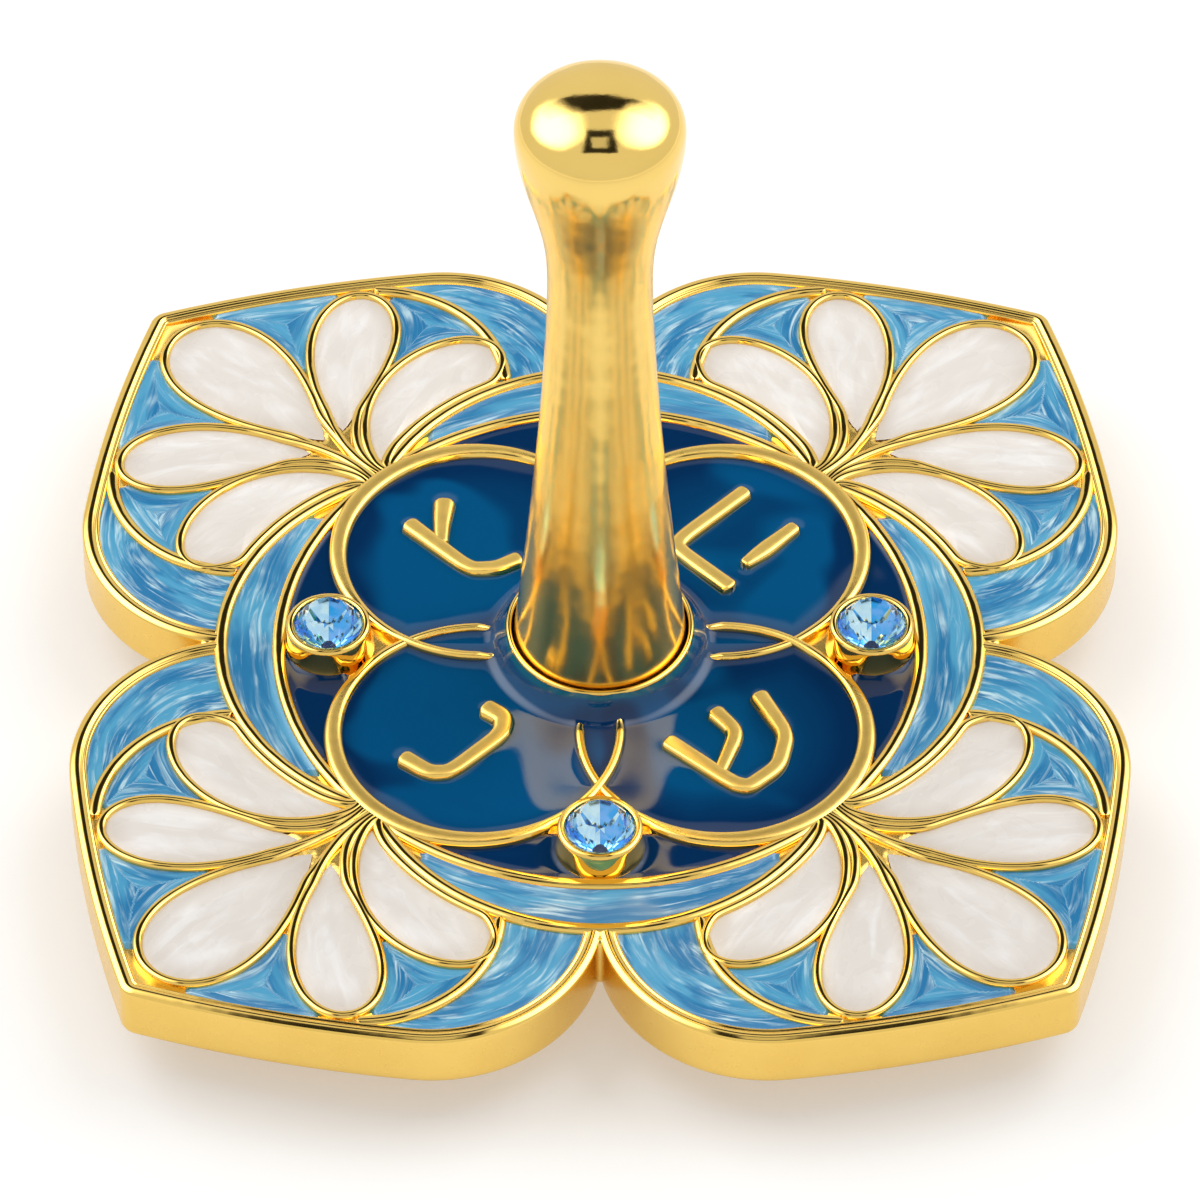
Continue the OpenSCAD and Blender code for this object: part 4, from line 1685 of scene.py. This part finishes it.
@dataclass
class StemWork:
    """The turned stem and the tip under the plate."""

    levels: Levels
    foot_r: float = 4.98
    neck_r: float = 2.9
    knob_r: float = 4.7
    cap_h: float = 2.4
    neck_share: float = 0.675
    tip_r: float = 3.5
    nose_r: float = 0.8
    stud_r: float = 1.5
    stud_low: float = 1.7
    foot_edge: Tuple[Point, ...] = ((4.8, 0.0), (4.93, 0.04))
    tip_edge: Tuple[Point, ...] = ((0.15, 2.88), (0.04, 2.97), (0.02, 3.1), (0.02, 4.0))
    tip_bore: Point = (1.52, 4.0)

    def stem_profile(self) -> Array:
        """Radius and height: stud, foot, a flare that falls with the power of one and a half, and the knob.

        The knob swells from the neck as half a cosine wave and ends in half an ellipse, and all is eased.

        Returns:
            Points of the profile, from the bottom up.
        """
        height = self.levels.top - self.levels.foot
        neck = self.levels.foot + height * self.neck_share
        knob = self.levels.top - self.cap_h
        t = np.linspace(0, 1, 48)
        flare = np.stack([self.neck_r + (self.foot_r - self.neck_r) * (1 - t) ** 1.5,
                          self.levels.foot + (neck - self.levels.foot) * t], axis=-1)
        swell = np.stack([self.neck_r + (self.knob_r - self.neck_r) * (1 - np.cos(np.pi * t ** 1.15)) / 2,
                          neck + (knob - neck) * t], axis=-1)
        a = np.radians(np.linspace(0, 90, 36))
        cap = np.stack([self.knob_r * np.cos(a) ** 0.9, knob + self.cap_h * np.sin(a) ** 0.95], axis=-1)
        cap[-1, 0] = 0.0
        stud = [(0, self.stud_low), (self.stud_r, self.stud_low), (self.stud_r, self.levels.foot)]
        edge = [(r, self.levels.foot + z) for r, z in self.foot_edge]
        turned = np.concatenate([flare[1:], swell[1:], cap[1:]])
        return np.concatenate([stud, edge, eased(resampled(turned, 0.15), 16)])

    def tip_profile(self) -> Array:
        """Radius and height: rounded nose, cone and head.

        Returns:
            Points of the profile, from the bottom up.
        """
        to = np.array([self.tip_r, self.levels.underside - self.nose_r])
        lean = math.atan2(to[1], to[0]) - math.acos(self.nose_r / np.linalg.norm(to))
        a = np.linspace(-math.pi / 2, lean, 10)
        nose = np.stack([self.nose_r * np.cos(a), self.nose_r + self.nose_r * np.sin(a)], axis=-1)
        nose[0] = (0, 0)
        head = [(self.tip_r - inset, z) for inset, z in self.tip_edge]
        return np.concatenate([nose, head, [self.tip_bore]])

    def build(self, gold: Material, tip_gold: Material) -> None:
        """Makes the stem and the tip."""
        make_piece("turned_stem", [lathe(self.stem_profile(), 160)], [gold], ["stem"])
        make_piece("pointed_tip", [lathe(self.tip_profile(), 96)], [tip_gold], ["spinning_tip"])


def level_ring(angles: Array, r: float, z: float) -> Array:
    """Points on a level circle about the upright axis."""
    return np.stack([r * np.cos(angles), r * np.sin(angles), np.full(len(angles), z)], axis=-1)


def following(points: Array) -> Array:
    """The next point for each point of a ring."""
    return np.roll(points, -1, axis=0)


def facets(a: Array, b: Array, c: Array, d: Array, finish: int) -> List[Sheet]:
    """Flat facets whose corners lie on four rings, and of which every second takes twice the finish's number,
    which on the underside gives the darker foil that paints shade on every second facet.

    Args:
        a: first corner of each facet.
        b: second corner.
        c: third corner.
        d: fourth corner.
        finish: number of the finish.

    Returns:
        A sheet for each facet.
    """
    corners = np.stack([np.stack([a, d], axis=1), np.stack([b, c], axis=1)], axis=1)
    return [Sheet(grid, flat=True, finish=finish * (1 + i % 2)) for i, grid in enumerate(corners)]


@dataclass
class CrystalWork:
    """The four crystals and their cups."""

    plan: Plan
    stone_r: float = 1.95
    table_r: float = 1.09
    girdle: float = 7.9
    crown: float = 8.05
    table: float = 9.15
    point: float = 6.2
    mid_r: float = 1.58
    mid_rise: float = 0.56
    cup_wall: Tuple[Point, ...] = ((2.62, 6.15), (2.55, 6.4), (2.49, 6.7), (2.44, 7.4), (2.42, 7.75))
    cup_inner: Tuple[Point, ...] = ((1.95, 8.1), (1.975, 8.06), (1.98, 7.4), (1.5, 7.3))
    lip_at: Point = (2.17, 7.93)
    lip_size: Point = (0.245, 0.22)

    def cup_profile(self) -> Array:
        """Radius and height: a slightly spread wall, a round lip that leans over the stone, and the ledge.

        Returns:
            Points of the profile, up the outside and down the inside.
        """
        lip = arc((0, 0), 1.0, 0, 110, 9) * self.lip_size + self.lip_at
        return np.concatenate([self.cup_wall, lip, self.cup_inner])

    def stone(self) -> List[Sheet]:
        """A round brilliant: table, star, kite and upper girdle facets over a pointed underside.

        Returns:
            A flat sheet for each facet, about the stone's own axis.
        """
        eight = np.radians(np.arange(8) * 45)
        between = eight + np.radians(22.5)
        table = level_ring(eight, self.table_r, self.table)
        mid = level_ring(between, self.mid_r, self.crown + self.mid_rise)
        rim_a = level_ring(eight, self.stone_r, self.crown)
        rim_b = level_ring(between, self.stone_r, self.crown)
        low_a = level_ring(eight, self.stone_r, self.girdle)
        low_b = level_ring(between, self.stone_r, self.girdle)
        point = level_ring(eight, 0.0, self.point)
        middle = level_ring(eight, 0.0, self.table)
        next_rim = following(rim_a)
        next_low = following(low_a)
        sheets = facets(middle, table, following(table), middle, 0)
        sheets += facets(table, mid, following(table), table, 0)
        sheets += facets(np.roll(mid, 1, axis=0), rim_a, mid, table, 0)
        sheets += facets(rim_a, rim_b, mid, mid, 0)
        sheets += facets(rim_b, next_rim, mid, mid, 0)
        # Underside facets alternate between the pale foil and its darker copy, a painted shade
        sheets += facets(low_a, low_b, rim_b, rim_a, 1)
        sheets += facets(low_b, next_low, next_rim, rim_b, 1)
        sheets += facets(point, point, low_b, low_a, 1)
        sheets += facets(point, point, next_low, low_b, 1)
        return sheets

    def build(self, gold: Material, stone: StoneFinish) -> None:
        """Makes a cup and a crystal on each side.

        Args:
            gold: finish of the cups.
            stone: finish of the stones.
        """
        # The darker foil is a shaded copy of the pale one, painted on every second facet of the underside
        finishes = [stone.make_glass(), stone.make_foil("crystal_foil", stone.foil, stone.foil_drift),
                    stone.make_foil("crystal_shaded_foil", stone.shaded_foil, stone.shaded_foil_drift)]
        cup = lathe(self.cup_profile(), 72, (self.plan.crystal_out, 0.0))
        cut = self.stone()
        for facet in cut:
            facet.points = facet.points + [self.plan.crystal_out, 0, 0]
        for q, side in enumerate(SIDES):
            name = "crystal_cup_" + side
            make_piece("gold_" + name, [cup.turned(q)], [gold], [name])
            stones = [facet.turned(q) for facet in cut]
            make_piece("cut_crystal_" + side, stones, finishes, ["crystal_" + side])


@dataclass
class Studio:
    """Floor, light and camera."""

    elevation: float = 47.0
    distance: float = 0.505
    aim: float = 0.01004
    lens: float = 266.1
    plain: float = 0.56
    floor_rings: Tuple[float, ...] = (0.0, 150.0, 300.0, 450.0)
    floor_tone: Colour = (0.74, 0.74, 0.74)
    floor_fade: Point = (0.1, 0.4)
    lamp_place: Triple = (0.34, 0.2, 0.5)
    lamp_size: float = 0.46
    lamp_power: float = 1.45
    softbox_way: Triple = (0.4, 0.2, 0.5)
    softbox_glow: float = 4.2

    def floor(self) -> None:
        """A plain pale floor under the tip, lifted to white for what the camera, metal and glass see."""
        r = np.array(self.floor_rings)
        sheet = lathe(np.stack([r, np.zeros_like(r)], axis=-1), 96)
        sheet.flip = True
        mesh = bpy.data.meshes.new("studio_floor")
        mesh.from_pydata((sheet.points.reshape(-1, 3) * MM).tolist(), [], sheet.faces().tolist())
        material, board, shader = new_finish("pale_floor")
        coords = board.add("ShaderNodeTexCoord").outputs["Object"]
        length = board.add("ShaderNodeVectorMath", operation="LENGTH")
        board.link(coords, length.inputs[0])
        away = board.ease(length.outputs["Value"], *self.floor_fade)
        board.link(board.mix(away, self.floor_tone, (0.0, 0.0, 0.0)), shader.inputs["Base Color"])
        shader.inputs["Roughness"].default_value = 0.9
        shader.inputs["Specular IOR Level"].default_value = 0.0
        path = board.add("ShaderNodeLightPath")
        seen = board.math("ADD", path.outputs["Is Camera Ray"], path.outputs["Is Glossy Ray"])
        seen = board.math("ADD", seen, path.outputs["Is Transmission Ray"])
        shader.inputs["Emission Color"].default_value = (1, 1, 1, 1)
        lift = board.ease(away, 0.0, 1.0, 0.3, 1.0)
        glow = board.product(board.math("MINIMUM", seen, 1.0), lift)
        board.link(glow, shader.inputs["Emission Strength"])
        mesh.materials.append(material)
        floor = bpy.data.objects.new("studio_floor", mesh)
        bpy.context.scene.collection.objects.link(floor)

    def softbox(self, name: str, place: Triple) -> None:
        """A square lamp that faces the object.

        Args:
            name: name of the lamp.
            place: its place in metres.
        """
        lamp = bpy.data.lights.new(name, "AREA")
        lamp.shape = "SQUARE"
        lamp.size = self.lamp_size
        lamp.energy = self.lamp_power
        holder = bpy.data.objects.new(name, lamp)
        holder.location = place
        aim = -np.array(place)
        flat = math.hypot(aim[0], aim[1])
        holder.rotation_euler = (math.atan2(flat, -aim[2]), 0, math.atan2(-aim[0], aim[1]) if flat else 0)
        holder.visible_glossy = False
        holder.visible_transmission = False
        bpy.context.scene.collection.objects.link(holder)

    def world(self) -> None:
        """White to the camera, with what polished surfaces mirror.

        They mirror a dark band high at the back, a dark panel overhead with a paler pane, walls that dim a
        little towards the floor, and two round softboxes that are brighter towards their middles.
        """
        world = bpy.data.worlds.new("studio_world")
        bpy.context.scene.world = world
        world.use_nodes = True
        board = NodeBoard(world.node_tree)
        path = board.add("ShaderNodeLightPath")
        way = board.add("ShaderNodeTexCoord").outputs["Generated"]
        split = board.add("ShaderNodeSeparateXYZ")
        board.link(way, split.inputs[0])
        x, y, z = split.outputs
        aside = board.math("ABSOLUTE", x)
        ahead = board.math("ABSOLUTE", y)
        rise = board.math("DIVIDE", z, board.math("MAXIMUM", y, 0.05))
        band = board.product(board.ease(rise, 0.84, 0.93), board.ease(rise, 1.42, 1.58, 1.0, 0.0),
                             board.ease(aside, 0.5, 0.62, 1.0, 0.0), board.ease(y, 0.1, 0.2))
        lean = board.math("ADD", aside, board.math("MULTIPLY", y, 0.25))
        pane = board.product(board.ease(aside, 0.08, 0.13, 0.8, 0.0), board.ease(ahead, 0.1, 0.18, 1.0, 0.0))
        panel = board.product(board.ease(lean, 0.18, 0.24, 1.0, 0.0), board.ease(ahead, 0.26, 0.32, 1.0, 0.0),
                              board.ease(z, 0.5, 0.6), board.math("SUBTRACT", 1.0, pane))
        shade = board.math("MAXIMUM", band, panel)
        mirror = board.math("SUBTRACT", 1.0, board.math("MULTIPLY", shade, 0.97))
        mirror = board.math("MULTIPLY", mirror, board.ease(z, 0.03, 0.5, 0.84, 0.86))
        toward = board.add("ShaderNodeVectorMath", operation="DOT_PRODUCT")
        fold = board.add("ShaderNodeCombineXYZ")
        for socket, part in zip(fold.inputs, (aside, y, z)):
            board.link(part, socket)
        board.link(fold.outputs[0], toward.inputs[0])
        toward.inputs[1].default_value = unit(np.array(self.softbox_way))
        hot = board.ease(toward.outputs["Value"], 0.85, 0.995, 0.0, self.softbox_glow)
        mirror = board.math("ADD", mirror, hot)
        seen = board.math("ADD", path.outputs["Is Glossy Ray"], path.outputs["Is Transmission Ray"])
        seen = board.math("MINIMUM", seen, 1.0)
        level = board.add("ShaderNodeMix", data_type="FLOAT")
        board.link(seen, level.inputs[0])
        level.inputs[2].default_value = self.plain
        board.link(mirror, level.inputs[3])
        view = board.add("ShaderNodeMix", data_type="FLOAT")
        board.link(path.outputs["Is Camera Ray"], view.inputs[0])
        board.link(level.outputs[0], view.inputs[2])
        view.inputs[3].default_value = 1.0
        back = board.add("ShaderNodeBackground")
        board.link(view.outputs[0], back.inputs["Strength"])
        back.inputs["Color"].default_value = (1, 1, 1, 1)
        board.link(back.outputs[0], board.add("ShaderNodeOutputWorld").inputs[0])

    def camera(self) -> None:
        """A long lens in front, above the plate."""
        data = bpy.data.cameras.new("studio_camera")
        data.lens = self.lens
        data.sensor_width = 36.0
        data.clip_start = 0.01
        holder = bpy.data.objects.new("studio_camera", data)
        e = math.radians(self.elevation)
        holder.location = (0, -self.distance * math.cos(e), self.aim + self.distance * math.sin(e))
        holder.rotation_euler = (math.pi / 2 - e, 0, 0)
        bpy.context.scene.collection.objects.link(holder)
        bpy.context.scene.camera = holder

    def build(self) -> None:
        """Makes the floor, the lamps, the world and the camera."""
        bpy.context.scene.view_settings.view_transform = "Standard"
        self.floor()
        x, y, z = self.lamp_place
        self.softbox("softbox_left", (-x, y, z))
        self.softbox("softbox_right", (x, y, z))
        self.world()
        self.camera()


def main() -> None:
    """Builds the classes in order."""
    logging.basicConfig(level=logging.INFO, format="%(name)s: %(message)s")
    plan = Plan()
    levels = Levels()
    body_gold = GoldFinish("body_gold", satin=0.26, polished=0.07, satin_to=0.00646, polished_from=0.00658,
                           grain=0.0000004, wave=0.000012).make()
    wire_gold = GoldFinish("wire_gold", satin=0.06, polished=0.06, wave=0.000025).make()
    band_gold = GoldFinish("band_gold", satin=0.06, polished=0.3, satin_to=0.00676, polished_from=0.00682,
                           wave=0.00002).make()
    letter_gold = GoldFinish("letter_gold", satin=0.08, polished=0.34, satin_to=0.00672, polished_from=0.0068,
                             wave=0.00001).make()
    stem_gold = GoldFinish("stem_gold", colour=(0.93, 0.655, 0.19), worn=(0.9, 0.62, 0.17), satin=0.22,
                           polished=0.08, satin_to=0.0435, polished_from=0.0475, grain=0.000004,
                           grain_scale=(1600.0, 1600.0, 700.0), wave=0.00005, wave_scale=480.0).make()
    plate = PlateWork(plan, levels)
    plate.build(body_gold, wire_gold, band_gold)
    letters = LetterWork(plan, levels)
    letters.build(letter_gold)
    enamel = EnamelWork(plan, levels, plate, letters)
    blue = StreakFinish("light_blue_enamel").make()
    dark = DeepFinish("dark_blue_enamel").make()
    enamel.build_petals(PearlFinish("pearl_enamel").make())
    enamel.build_lobes(blue)
    enamel.build_rings(blue)
    enamel.build_niches(dark)
    enamel.build_centre(dark)
    StemWork(levels).build(stem_gold, body_gold)
    CrystalWork(plan).build(wire_gold, StoneFinish())
    Studio().build()


if __name__ == "__main__":
    main()
